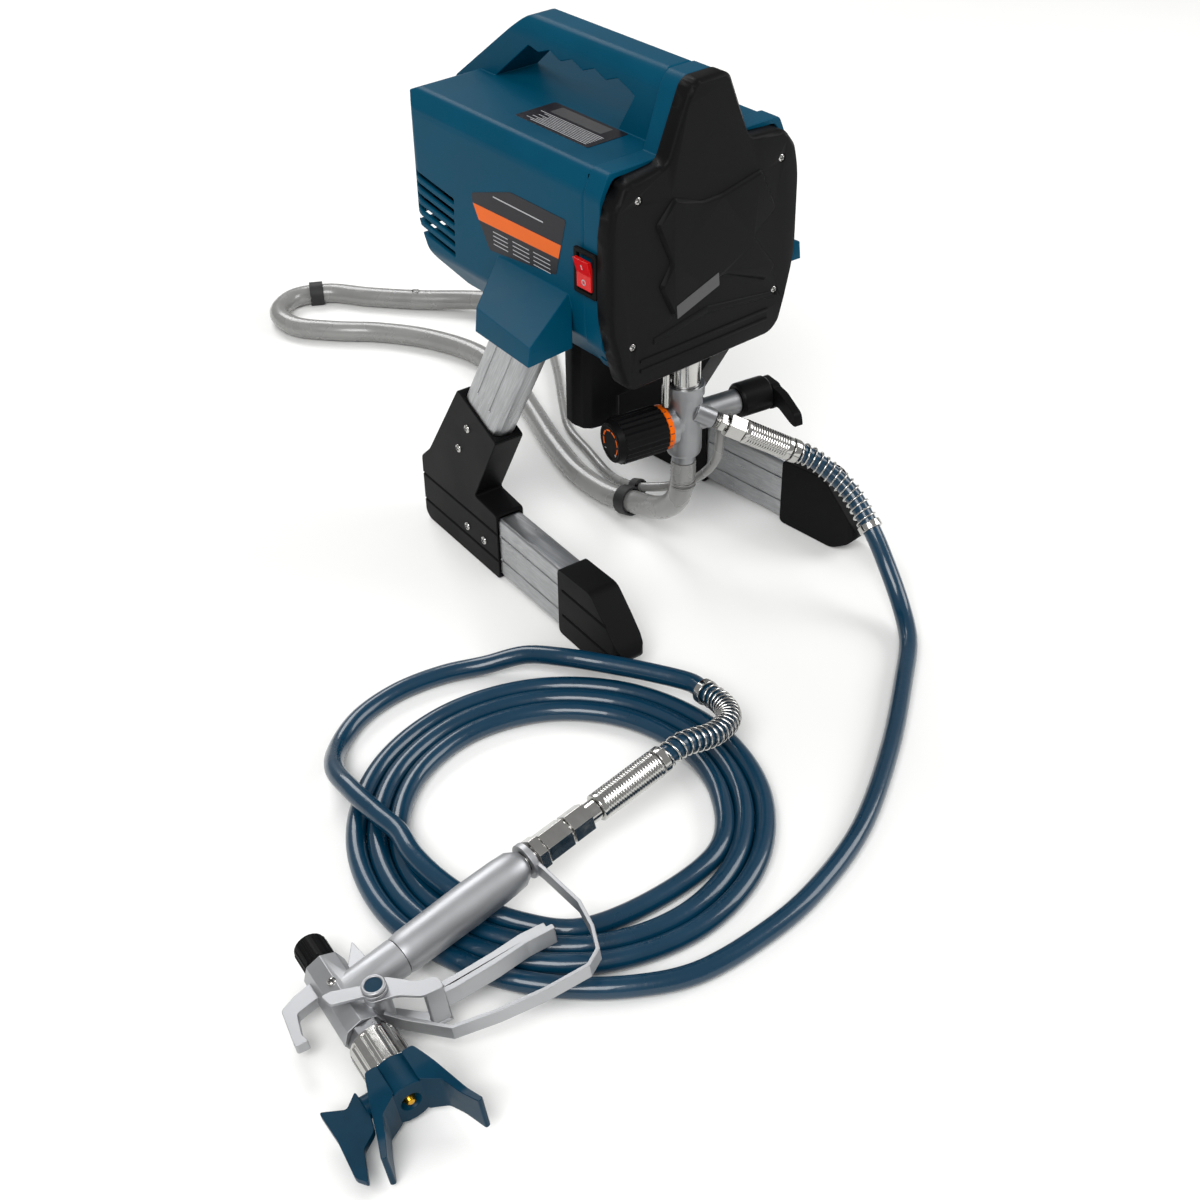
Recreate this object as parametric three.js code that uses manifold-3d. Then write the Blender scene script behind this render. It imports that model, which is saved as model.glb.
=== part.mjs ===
// Airless paint sprayer on a skid stand, with its suction and return hoses, a coiled paint hose and a spray gun.
// Millimetres, +Z up, floor at z = 0. The front cover faces -Y, and the origin is under the middle of the machine.
import * as THREE from "three";
import { mergeVertices } from "three/addons/utils/BufferGeometryUtils.js";
import { ConvexGeometry } from "three/addons/geometries/ConvexGeometry.js";
import Module from "manifold-3d";

const wasm = await Module();
wasm.setup();

// ---- driving dimensions ----
const GAP = 0.3; // clearance between neighbouring pieces
const WALL = 3; // moulded shell thickness

const TOE_OUT = 4.59; // degrees that each foot points outwards
const FOOT_LINE_X = 126.7; // outer face of a foot, level with the origin
const FOOT_WIDTH = 26;
const FOOT_FRONT = -171; // nose of the foot caps
const CAP_REAR = -88.5;
const ELBOW_FRONT = -1.5;
const ELBOW_REAR = 117;
const LEG_LEAN = 30.5; // degrees that the uprights lean forward
const LEG_TOP = 240; // inside the sockets of the housing

const BODY_HALF_WIDTH = 88;
const BODY_TOP = 366;
const BODY_BOTTOM = 211;
const BODY_REAR = 171.14;
const SEAM_Y = -73.5; // joint of the rear housing and the front ring
const COVER_BACK_Y = -91.5; // joint of the front ring and the front cover
const COVER_FACE_Y = -105.5;
const HANDLE_TOP = 420;
const HANDLE_HALF_WIDTH = 18;

const PUMP_Y = -84.5; // vertical pump axis, at x = 0
const MANIFOLD_Z = 140; // axis of the pressure knob and the prime valve
const MANIFOLD_YAW = -10; // degrees that the manifold is turned about the pump
const MOTOR_Z = 268;
const TOOTH_MODULE = 1.7;
const GEAR_TEETH = 40;
const PINION_TEETH = 12;
const GEAR_Z = MOTOR_Z + ((GEAR_TEETH + PINION_TEETH) * TOOTH_MODULE) / 2;
const CRANK_THROW = 9;

const PAINT_HOSE_RADIUS = 7.2;
const SUCTION_HOSE_RADIUS = 10;
const RETURN_HOSE_RADIUS = 4;
const GUARD_RADIUS = 9.2; // bend guards of the paint hose, spring wire included
const COIL_CENTRE = [-265, -261.5];
const COIL_OUTER = 154;
const COIL_TURNS = 4;

const GUN_ORIGIN = [-476, -317.5, 20.5];
const GUN_HEADING = -97.8; // degrees from +X to the way that the nozzle points
const GUN_TILT = 7.5; // degrees that the grip rises from the head

// ---- finishes ----
const finish = (color, roughness, metalness = 0) =>
  new THREE.MeshStandardMaterial({ color, roughness, metalness, flatShading: true });
const tealPlastic = finish(0x00526e, 0.45);
const blackPlastic = finish(0x232323, 0.5);
const orangePlastic = finish(0xf0780a, 0.4);
const redPlastic = finish(0xc81414, 0.25);
const navyPlastic = finish(0x023a5a, 0.4);
const extrudedAluminium = finish(0xb9b9b9, 0.35, 1);
const castAluminium = finish(0x9a9b9c, 0.5, 1);
const platedSteel = finish(0xd5d5d5, 0.15, 1);
const darkSteel = finish(0x5a5a5a, 0.35, 1);
const hoseJacket = finish(0x004260, 0.2);
const clearVinyl = finish(0xc8c8c8, 0.25);

// ---- solids ----
const degrees = THREE.MathUtils.degToRad;
const at = (x, y, z) => new THREE.Vector3(x, y, z);

// A closed geometry as a manifold-3d solid, without the triangles that collapse at a pole.
function solidOf(geometry) {
  const bare = new THREE.BufferGeometry();
  const loose = geometry.index ? geometry.toNonIndexed() : geometry;
  bare.setAttribute("position", loose.getAttribute("position").clone());
  const merged = mergeVertices(bare, 1e-4);
  const corners = merged.index.array;
  const kept = [];
  for (let i = 0; i < corners.length; i += 3) {
    const [a, b, c] = [corners[i], corners[i + 1], corners[i + 2]];
    if (a !== b && b !== c && c !== a) kept.push(a, b, c);
  }
  const build = (triVerts) =>
    new wasm.Manifold(
      new wasm.Mesh({
        numProp: 3,
        vertProperties: merged.attributes.position.array,
        triVerts: Uint32Array.from(triVerts),
      }),
    );
  const made = build(kept);
  return made.volume() < 0 ? build(kept.reverse()) : made;
}

function geometryOf(solid) {
  const mesh = solid.getMesh();
  return new THREE.BufferGeometry()
    .setAttribute("position", new THREE.BufferAttribute(mesh.vertProperties, 3))
    .setIndex(new THREE.BufferAttribute(mesh.triVerts, 1));
}

const join = (...pieces) =>
  geometryOf(pieces.map(solidOf).reduce((all, piece) => all.add(piece)));
const cut = (piece, ...tools) =>
  geometryOf(tools.map(solidOf).reduce((left, tool) => left.subtract(tool), solidOf(piece)));
const common = (...pieces) =>
  geometryOf(pieces.map(solidOf).reduce((left, piece) => left.intersect(piece)));

// An outline with every corner rounded by radius, or by a point's own third number.
function outline(points, radius = 0) {
  const shape = new THREE.Shape();
  points.forEach((point, i) => {
    const corner = new THREE.Vector2(point[0], point[1]);
    const before = new THREE.Vector2(...points.at(i - 1).slice(0, 2));
    const after = new THREE.Vector2(...points[(i + 1) % points.length].slice(0, 2));
    const reach = Math.min(
      point[2] ?? radius,
      corner.distanceTo(before) * 0.45,
      corner.distanceTo(after) * 0.45,
    );
    const start = corner.clone().add(before.sub(corner).setLength(reach));
    const end = corner.clone().add(after.sub(corner).setLength(reach));
    if (i === 0) shape.moveTo(start.x, start.y);
    else shape.lineTo(start.x, start.y);
    if (reach > 0) shape.quadraticCurveTo(corner.x, corner.y, end.x, end.y);
  });
  shape.closePath();
  return shape;
}

const swept = (shape, depth) =>
  new THREE.ExtrudeGeometry(shape, { depth, bevelEnabled: false, curveSegments: 3 });
// A plate whose outline lies in (y, z), (x, z) or (x, y), between two levels of the third axis.
const plateX = (points, from, to, radius) =>
  swept(outline(points, radius), to - from)
    .applyMatrix4(new THREE.Matrix4().makeBasis(at(0, 1, 0), at(0, 0, 1), at(1, 0, 0)))
    .translate(from, 0, 0);
const plateY = (points, from, to, radius) =>
  swept(outline(points, radius), to - from)
    .rotateX(Math.PI / 2)
    .translate(0, to, 0);
const plateZ = (points, from, to, radius) =>
  swept(outline(points, radius), to - from).translate(0, 0, from);

function box(x0, x1, y0, y1, z0, z1) {
  const middle = [(x0 + x1) / 2, (y0 + y1) / 2, (z0 + z1) / 2];
  return new THREE.BoxGeometry(x1 - x0, y1 - y0, z1 - z0).translate(...middle);
}

// Turns a piece made about the Z axis so that it starts at one point and runs along a direction.
function aimed(geometry, start, direction) {
  const turn = new THREE.Quaternion().setFromUnitVectors(at(0, 0, 1), direction.clone().normalize());
  return geometry.applyQuaternion(turn).translate(start.x, start.y, start.z);
}

// A turned piece from (radius, height) pairs that start and end on the axis or close on themselves.
const turned = (profile, sides = 24) =>
  new THREE.LatheGeometry(
    profile.map((p) => new THREE.Vector2(...p)),
    sides,
  ).rotateX(Math.PI / 2);

function rod(start, end, radius, sides = 20) {
  const run = end.clone().sub(start);
  const length = run.length();
  return aimed(
    turned([[0, 0], [radius, 0], [radius, length], [0, length]], sides),
    start,
    run,
  );
}

function hexBar(start, end, acrossFlats) {
  const corner = acrossFlats / Math.sqrt(3);
  return rod(start, end, corner, 6);
}

// A smooth route through points, and a hose that follows it.
const route = (points) => new THREE.CatmullRomCurve3(points.map((p) => at(...p)), false, "centripetal");
function hose(points, radius, sides, steps) {
  const section = new THREE.Shape();
  for (let i = 0; i < sides; i++) {
    const turn = (2 * Math.PI * i) / sides;
    const place = [radius * Math.cos(turn), radius * Math.sin(turn)];
    if (i === 0) section.moveTo(...place);
    else section.lineTo(...place);
  }
  section.closePath();
  return new THREE.ExtrudeGeometry(section, {
    steps,
    extrudePath: route(points),
    bevelEnabled: false,
  });
}

const sprayer = new THREE.Group();
sprayer.name = "airless_paint_sprayer";

function add(group, name, geometry, material) {
  const mesh = new THREE.Mesh(geometryOf(solidOf(geometry)), material);
  mesh.name = name;
  group.add(mesh);
  return mesh;
}

// ---- stand: one leg, drawn for the left side and mirrored for the right ----
// In a leg's own frame x runs inwards from the outer face, y runs to the rear and z is up.
const TUBE_INSET = 2;
const TUBE_DEPTH = 49;
const tubeSection = [
  [TUBE_INSET, 0],
  [FOOT_WIDTH - TUBE_INSET, 0],
  [FOOT_WIDTH - TUBE_INSET, TUBE_DEPTH],
  [TUBE_INSET, TUBE_DEPTH],
];
const GROOVE_DEPTH = 1;
const GROOVE_WIDTH = 2;

// Leaning frame of the upright: y stays across the lean, z follows the tube.
const leaned = (geometry) =>
  geometry.rotateX(degrees(LEG_LEAN)).translate(0, 20, 96);

function uprightTube(grow = 0) {
  const size = tubeSection.map(([x, y]) => [
    x + Math.sign(x - FOOT_WIDTH / 2) * grow,
    y + Math.sign(y - TUBE_DEPTH / 2) * grow,
  ]);
  const foot = leaned(plateZ(size, -22 - grow, 190, 9));
  return cut(foot, box(-40, 80, -200, 100, LEG_TOP + grow, 400));
}

function footTube(grow = 0) {
  const low = 3 - grow;
  const high = 59 + grow;
  const section = [
    [TUBE_INSET - grow, low],
    [FOOT_WIDTH - TUBE_INSET + grow, low],
    [FOOT_WIDTH - TUBE_INSET + grow, high],
    [TUBE_INSET - grow, high],
  ];
  return plateY(section, CAP_REAR - 26 - grow, ELBOW_FRONT + 32 + grow, 4);
}

function footCap() {
  const side = [
    [CAP_REAR, 0],
    [CAP_REAR, 62],
    [-133, 63],
    [-151, 46],
    [-167, 29],
    [FOOT_FRONT, 21],
    [-162, 10],
    [-146, 0],
  ];
  const plan = [
    [0, CAP_REAR],
    [FOOT_WIDTH, CAP_REAR],
    [FOOT_WIDTH, FOOT_FRONT, 9],
    [0, FOOT_FRONT, 9],
  ];
  const ribs = [19, 43].map((z) =>
    box(-1, 0.8, FOOT_FRONT + 12, CAP_REAR - 6, z, z + GROOVE_WIDTH),
  );
  return cut(
    common(plateX(side, 0, FOOT_WIDTH, 5), plateZ(plan, -1, 70)),
    footTube(GAP),
    ...ribs,
  );
}

function elbow() {
  const side = [
    [ELBOW_FRONT, 0],
    [ELBOW_FRONT, 62],
    [31, 65],
    [-7, 133],
    [48, 156],
    [102, 75],
    [ELBOW_REAR, 61],
    [ELBOW_REAR, 5],
    [ELBOW_REAR - 6, 0],
  ];
  const footGrooves = [17, 43].map((z) =>
    box(-1, GROOVE_DEPTH, ELBOW_FRONT - 1, ELBOW_REAR + 1, z, z + GROOVE_WIDTH),
  );
  return cut(plateX(side, 0, FOOT_WIDTH, 3), footTube(GAP), uprightTube(GAP), ...footGrooves);
}

function leg(side) {
  const mirror = new THREE.Group();
  mirror.scale.x = side === "left" ? 1 : -1;
  const frame = new THREE.Group();
  frame.position.x = -FOOT_LINE_X;
  frame.rotation.z = -degrees(TOE_OUT);
  mirror.add(frame);
  const footGrooves = [19, 42].flatMap((z) =>
    [TUBE_INSET, FOOT_WIDTH - TUBE_INSET].map((x) =>
      box(x - GROOVE_DEPTH, x + GROOVE_DEPTH, CAP_REAR + 1, ELBOW_FRONT - 1, z, z + GROOVE_WIDTH),
    ),
  );
  const legGrooves = [15, 33].flatMap((y) =>
    [TUBE_INSET, FOOT_WIDTH - TUBE_INSET].map((x) =>
      leaned(box(x - GROOVE_DEPTH, x + GROOVE_DEPTH, y, y + GROOVE_WIDTH, 60, 150)),
    ),
  );
  add(frame, `${side}_foot_tube`, cut(footTube(), ...footGrooves), extrudedAluminium);
  add(frame, `${side}_foot_cap`, footCap(), blackPlastic);
  add(frame, `${side}_elbow`, elbow(), blackPlastic);
  add(frame, `${side}_leg_tube`, cut(uprightTube(), ...legGrooves), extrudedAluminium);
  sprayer.add(mirror);
}
leg("left");
leg("right");

// ---- housing ----
const mirrored = (half) => [...half, ...half.map(([x, z, r]) => [-x, z, r]).reverse()];
const bodySection = (inset) =>
  mirrored([
    [70 - inset, BODY_BOTTOM + inset],
    [BODY_HALF_WIDTH - inset, 238 + inset / 2],
    [BODY_HALF_WIDTH - inset, 350],
    [80 - inset, BODY_TOP - inset],
  ]);
const bodyProfile = (inset) => [
  [SEAM_Y - inset, BODY_BOTTOM + inset],
  [94, BODY_BOTTOM + inset],
  [122 - inset, 230 + inset],
  [139 - inset, 264 + inset / 2],
  [149 - inset, 296],
  [163 - inset, 318],
  [BODY_REAR - inset, 334],
  [BODY_REAR - inset, 350 - inset / 2],
  [136 - inset / 2, BODY_TOP - inset],
  [SEAM_Y - inset, BODY_TOP - inset],
];
const bodyPlan = (inset) =>
  mirrored([
    [BODY_HALF_WIDTH - inset, SEAM_Y - inset],
    [BODY_HALF_WIDTH - inset, 136],
    [63 - inset, BODY_REAR - inset],
  ]);
const bodySolid = (inset) =>
  common(
    plateY(bodySection(inset), SEAM_Y - inset, BODY_REAR, 4),
    plateX(bodyProfile(inset), -100, 100, 3),
    plateZ(bodyPlan(inset), 200, 380, 5),
  );

const HANDLE_GAP_FRONT = -46;
const handleSide = [
  [SEAM_Y, BODY_TOP - 2],
  [SEAM_Y, HANDLE_TOP],
  [82, HANDLE_TOP, 8],
  [BODY_REAR - 1, 352, 3],
  [BODY_REAR - 14, 340],
];
const handleSection = (low) =>
  mirrored([
    [HANDLE_HALF_WIDTH + 5, low],
    [HANDLE_HALF_WIDTH, HANDLE_TOP - 12],
    [HANDLE_HALF_WIDTH - 6, HANDLE_TOP],
  ]);

// Gap under the grip, with finger waves along its upper edge.
function handleGap() {
  const waves = [];
  for (let i = 0; i <= 16; i++) {
    const y = HANDLE_GAP_FRONT + 6 + (i * 104) / 16;
    waves.push([y, 399 - 2.4 * Math.cos((i * Math.PI) / 2)]);
  }
  return plateX(
    [[-30, BODY_TOP], [HANDLE_GAP_FRONT, 394], ...waves, [76, 399], [116, BODY_TOP]],
    -60,
    60,
    0,
  );
}

const SOCKET_CORNERS = [
  [-138, -68, 229],
  [-131, 6, 227],
  [-97, 6, 227],
  [-97, -68, 231],
  [-136, -68, 244],
  [-129, 6, 246],
  [-84, -52, 268],
  [-84, 34, 268],
  [-84, -40, 229],
  [-84, 28, 229],
];
const legSocket = (side) =>
  new ConvexGeometry(SOCKET_CORNERS.map(([x, y, z]) => at(side * x, y, z)));

function legPrism(side) {
  const prism = uprightTube(GAP).rotateZ(-degrees(TOE_OUT)).translate(-FOOT_LINE_X, 0, 0);
  return side < 0 ? geometryOf(solidOf(prism).mirror([1, 0, 0])) : prism;
}

const VENT_ROWS = 6;
function vents() {
  const slots = [];
  for (let row = 0; row < VENT_ROWS; row++) {
    const slot = plateX([[-27, -5], [24, 3], [24, 7.5], [-27, -0.5]], -100, 100, 0);
    slots.push(slot.translate(0, 116 - row * 0.5, 249 + row * 9));
  }
  return slots;
}

const BRACKET_HALF_WIDTH = 22;
const bracketHole = box(-24.5, 24.5, -104, -45, 190, 226);
const GLAND = [46, 62];

function rearHousing() {
  const handle = cut(
    common(plateX(handleSide, -40, 40, 4), plateY(handleSection(330), SEAM_Y, 180, 5)),
    bodySolid(WALL - 1),
    handleGap(),
  );
  const shell = cut(
    join(bodySolid(0), legSocket(1), legSocket(-1)),
    bodySolid(WALL),
    box(-85, 85, SEAM_Y - 1, SEAM_Y + 1, 214, 363),
  );
  return cut(
    join(shell, handle),
    legPrism(1),
    legPrism(-1),
    bracketHole,
    rod(at(...GLAND, 200), at(...GLAND, 220), 7.8),
    ...vents(),
  );
}
add(sprayer, "rear_housing", rearHousing(), tealPlastic);

// ---- front ring and cover ----
const RING_PROUD = 1.5;
const neckSection = mirrored([
  [37, 362],
  [22, 404],
  [19, 412],
  [13, HANDLE_TOP],
]);

function frontRing() {
  const ring = plateY(bodySection(-RING_PROUD), COVER_BACK_Y, SEAM_Y - GAP, 4);
  const neck = plateY(neckSection, COVER_BACK_Y, SEAM_Y - GAP, 4);
  return cut(
    join(ring, neck),
    plateY(bodySection(WALL), COVER_BACK_Y - 1, SEAM_Y + 1, 4),
    bracketHole,
    rod(at(-95, -82.5, 222), at(-60, -82.5, 222), 2.5, 12),
  );
}
add(sprayer, "front_ring", frontRing(), tealPlastic);

// A plate facing -Y whose front edge is bevelled.
function facePlate(points, back, front, bevel, radius = 4) {
  const rim = outline(points, radius).getPoints(3);
  if (rim[0].distanceTo(rim.at(-1)) < 1e-6) rim.pop();
  if (THREE.ShapeUtils.area(rim) < 0) rim.reverse();
  const inner = rim.map((point, i) => {
    const ahead = rim[(i + 1) % rim.length].clone().sub(rim.at(i - 1)).normalize();
    return new THREE.Vector2(point.x - ahead.y * bevel, point.y + ahead.x * bevel);
  });
  const layers = [
    [rim, back],
    [rim, front + bevel],
    [inner, front],
  ];
  const count = rim.length;
  const corners = layers.flatMap(([ring, y]) => ring.flatMap((point) => [point.x, y, point.y]));
  const faces = THREE.ShapeUtils.triangulateShape(rim, []);
  const index = faces.flatMap(([i, j, k]) => [k, j, i, 2 * count + i, 2 * count + j, 2 * count + k]);
  for (let layer = 0; layer < 2; layer++)
    for (let i = 0; i < count; i++) {
      const [low, next] = [layer * count + i, layer * count + ((i + 1) % count)];
      index.push(low, next, next + count, low, next + count, low + count);
    }
  return new THREE.BufferGeometry()
    .setAttribute("position", new THREE.Float32BufferAttribute(corners, 3))
    .setIndex(index);
}

const coverOutline = mirrored([
  [70, 200, 5],
  [79, 208],
  [85, 228],
  [93, 262, 12],
  [92, 328, 12],
  [87, 348],
  [75, 363, 6],
  [40, 366, 6],
  [24, 404],
  [19, 416],
  [13, HANDLE_TOP],
]);
const coverPocket = mirrored([
  [66, 204],
  [78, 216],
  [88, 262],
  [87, 328],
  [80, 346],
  [70, 357],
]);
const crossPanel = [
  [-51, 325],
  [-34, 342],
  [-8, 332],
  [10, 332],
  [51, 340],
  [67, 306],
  [45, 290],
  [69, 259],
  [60, 249],
  [16, 268],
  [-4, 262],
  [-34, 250],
  [-47, 277],
  [-36, 292],
];

function frontCover() {
  const back = COVER_BACK_Y - GAP;
  const panel = facePlate(crossPanel, COVER_FACE_Y + 1, COVER_FACE_Y - 3, 2.4, 3);
  const ridge = facePlate(
    [[-52, 233], [1, 241], [74, 231], [74, 236], [1, 247], [-52, 238]],
    COVER_FACE_Y + 1,
    COVER_FACE_Y - 1,
    0.8,
    1,
  );
  const slats = [222, 214].map((z) =>
    box(-64, 64, COVER_FACE_Y - 0.8, COVER_FACE_Y + 1, z, z + 2.5),
  );
  const body = join(facePlate(coverOutline, back, COVER_FACE_Y, 3), panel, ridge, ...slats);
  const bosses = [[-66, 348], [72, 342], [-71, 237], [71, 237]].map(([x, z]) =>
    rod(at(x, COVER_FACE_Y - 1, z), at(x, COVER_FACE_Y + 2, z), 3.5, 12),
  );
  return cut(
    body,
    plateY(coverPocket, COVER_FACE_Y + WALL, back + 1, 4),
    box(-24.5, 24.5, -104 + WALL - 0.5, -45, 190, 226),
    ...bosses,
  );
}
add(sprayer, "front_cover", frontCover(), blackPlastic);

// ---- power switch ----
const SWITCH_Y = -78;
const SWITCH_Z = 292.5;
const SWITCH_X = -BODY_HALF_WIDTH - RING_PROUD - GAP;
const bezel = cut(
  plateX([[-90.5, 275], [-65.5, 275], [-65.5, 310], [-90.5, 310]], SWITCH_X - 3.2, SWITCH_X, 2),
  box(-100, -80, SWITCH_Y - 8.5, SWITCH_Y + 8.5, SWITCH_Z - 14, SWITCH_Z + 14),
);
add(sprayer, "rocker_bezel", bezel, blackPlastic);
const rockerSide = [
  [SWITCH_X - 7.4, 12],
  [SWITCH_X - 4, 0],
  [SWITCH_X - 3.9, -12],
  [SWITCH_X - 0.5, -12],
  [SWITCH_X - 0.5, 0],
  [SWITCH_X - 3.8, 12],
];
const rocker = plateY(
  rockerSide.map(([x, z]) => [x, z + SWITCH_Z]),
  SWITCH_Y - 8,
  SWITCH_Y + 8,
  0.6,
);
add(sprayer, "rocker_switch", rocker, redPlastic);

// ---- motor and reduction gear, inside the housing ----
const CASING_FRONT = -47.5;
const CASING_BACK = -29.5;
const GEAR_FRONT = -65.5;
const GEAR_BACK = -53.5;
const alongY = (radius, from, to, z = MOTOR_Z, sides = 24) =>
  rod(at(0, from, z), at(0, to, z), radius, sides);

const motorCan = cut(
  join(alongY(40, CASING_BACK + GAP, 96, MOTOR_Z, 32), alongY(14, 95, 99)),
  alongY(5.4, CASING_BACK, 100),
);
add(sprayer, "motor_can", motorCan, darkSteel);
add(sprayer, "motor_shaft", alongY(5, -67, 118), platedSteel);

// A spur gear with straight-sided teeth, one tooth centred on the phase angle.
function spurGear(teeth, phase, from, to, z) {
  const pitch = (teeth * TOOTH_MODULE) / 2;
  const root = pitch - 1.2 * TOOTH_MODULE;
  const tip = pitch + 0.75 * TOOTH_MODULE;
  const step = (2 * Math.PI) / teeth;
  const points = [];
  for (let i = 0; i < teeth; i++) {
    const middle = degrees(phase) + i * step;
    for (const [turn, radius] of [[-0.27, root], [-0.09, tip], [0.09, tip], [0.27, root]])
      points.push([
        radius * Math.cos(middle + turn * step),
        radius * Math.sin(middle + turn * step),
      ]);
  }
  return plateY(points, from, to, 0).translate(0, 0, z);
}

const pinion = cut(
  spurGear(PINION_TEETH, 15, GEAR_FRONT, GEAR_BACK, MOTOR_Z),
  alongY(5.3, -70, -40),
);
add(sprayer, "pinion_gear", pinion, darkSteel);

const CRANK_PIN_END = -78.4;
const gearHoles = [0, 1, 2, 3, 4].map((i) => {
  const turn = (i * 2 * Math.PI) / 5;
  const middle = [21 * Math.cos(turn), GEAR_Z + 21 * Math.sin(turn)];
  return rod(at(middle[0], -70, middle[1]), at(middle[0], -40, middle[1]), 5.5, 16);
});
const driveGear = cut(
  join(
    cut(spurGear(GEAR_TEETH, -90, GEAR_FRONT, GEAR_BACK, GEAR_Z), ...gearHoles),
    alongY(14, -68, GEAR_BACK + 1, GEAR_Z),
    alongY(3.5, CRANK_PIN_END, -66, GEAR_Z + CRANK_THROW, 16),
  ),
  alongY(5.3, -66, -40, GEAR_Z),
);
add(sprayer, "drive_gear", driveGear, castAluminium);

const casing = cut(
  join(
    plateY(
      mirrored([[30, 222], [56, 236], [56, 330], [38, 350]]),
      CASING_FRONT,
      CASING_BACK,
      6,
    ),
    alongY(5, -65, -45, GEAR_Z),
    plateX(
      [[-98.5, 196], [-46, 196], [-46, 240], [-60, 240], [-68, 221], [-98.5, 221]],
      -BRACKET_HALF_WIDTH,
      BRACKET_HALF_WIDTH,
      2,
    ),
  ),
  alongY(6, -50, -20),
  rod(at(0, PUMP_Y, 190), at(0, PUMP_Y, 230), 12.3, 32),
);
add(sprayer, "gearbox_casing", casing, castAluminium);

add(
  sprayer,
  "cooling_fan",
  cut(
    join(
      alongY(10, 102, 116),
      ...[0, 1, 2, 3, 4, 5, 6, 7].map((i) =>
        box(8, 34, -6, 6, -1, 1)
          .rotateX(0.5)
          .rotateY((i * Math.PI) / 4)
          .translate(0, 109, MOTOR_Z),
      ),
    ),
    alongY(5.3, 98, 118),
  ),
  blackPlastic,
);

// ---- piston pump ----
const YOKE_FRONT = -89;
const YOKE_BACK = -79;
const yoke = cut(
  plateY(
    mirrored([[8, 296], [24, 303], [24, 328]]),
    YOKE_FRONT,
    YOKE_BACK,
    3,
  ),
  plateY(mirrored([[14, 308], [14, 324]]), YOKE_FRONT - 1, YOKE_BACK + 1, 3),
  rod(at(0, PUMP_Y, 290), at(0, PUMP_Y, 304.3), 4.3, 20),
);
add(sprayer, "yoke", yoke, darkSteel);
add(sprayer, "piston_rod", rod(at(0, PUMP_Y, 184), at(0, PUMP_Y, 304), 4, 20), platedSteel);
const ringZ = (outer, inner, from, to, sides = 32) =>
  turned([[inner, from], [outer, from], [outer, to], [inner, to], [inner, from]], sides);
const cylinder = cut(
  rod(at(0, PUMP_Y, 165.3), at(0, PUMP_Y, 216), 12, 32),
  rod(at(0, PUMP_Y, 172), at(0, PUMP_Y, 220), 5.5, 20),
);
add(sprayer, "pump_cylinder", cylinder, platedSteel);
add(
  sprayer,
  "pump_collar",
  ringZ(15.5, 12.3, 165.3, 174).translate(0, PUMP_Y, 0),
  castAluminium,
);
add(sprayer, "tie_rod", rod(at(-20, PUMP_Y, 160), at(-20, PUMP_Y, 195.7), 3, 12), platedSteel);

const controlBox = join(
  plateZ(
    [[-67, -45.5, 16], [-30, -45.5, 8], [-30, -11.5, 8], [-67, -11.5, 16]],
    137,
    BODY_BOTTOM - GAP,
  ),
  plateZ([[-48, -45.5], [24, -45.5], [24, -11.5], [-48, -11.5]], 158, BODY_BOTTOM - GAP, 4),
);
add(sprayer, "control_box", controlBox, blackPlastic);

// ---- manifold, turned about the pump axis: x runs from the pressure knob to the prime valve ----
const manifold = new THREE.Group();
manifold.position.set(0, PUMP_Y, MANIFOLD_Z);
manifold.rotation.z = degrees(MANIFOLD_YAW);
sprayer.add(manifold);
manifold.updateMatrixWorld(true);
const alongX = (radius, from, to, sides = 24, z = 0) =>
  rod(at(from, 0, z), at(to, 0, z), radius, sides);

// Outlet line: it leaves the front of the block, to the right and down.
const OUTLET_BASE = at(16, -105.5, 143);
const OUTLET_END = at(63, -140.5, 114);
const outletRun = OUTLET_END.clone().sub(OUTLET_BASE).normalize();
const onOutlet = (s) => OUTLET_BASE.clone().addScaledVector(outletRun, s);
const inManifold = (point) => manifold.worldToLocal(point.clone());

const VALVE_Z = 3;
const block = join(
  turned([[0, -28], [13, -28], [14, -25], [14, 25 - GAP], [0, 25 - GAP]], 32),
  turned([[0, -36], [9.5, -36], [9.5, -26], [0, -26]]),
  alongX(12.3, -16, 20, 22, VALVE_Z / 2),
  alongX(16, -19 + GAP, -12.5),
  rod(inManifold(onOutlet(-20)), inManifold(onOutlet(-4)), 7.8, 18),
);
add(manifold, "manifold_block", block, castAluminium);
add(manifold, "knob_scale_ring", alongX(18, -23.5, -19, 32), orangePlastic);
const KNOB_RIBS = 24;
const knobProfile = [];
for (let i = 0; i < KNOB_RIBS * 2; i++) {
  const turn = (i * Math.PI) / KNOB_RIBS;
  const radius = i % 2 ? 19 : 17.6;
  knobProfile.push([radius * Math.cos(turn), radius * Math.sin(turn)]);
}
const knob = join(
  plateX(knobProfile, -62, -24, 0),
  aimed(turned([[0, 0], [17.6, 0], [16, 5], [0, 5]], 32), at(-62, 0, 0), at(-1, 0, 0)),
);
add(manifold, "pressure_knob", knob, blackPlastic);

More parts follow.
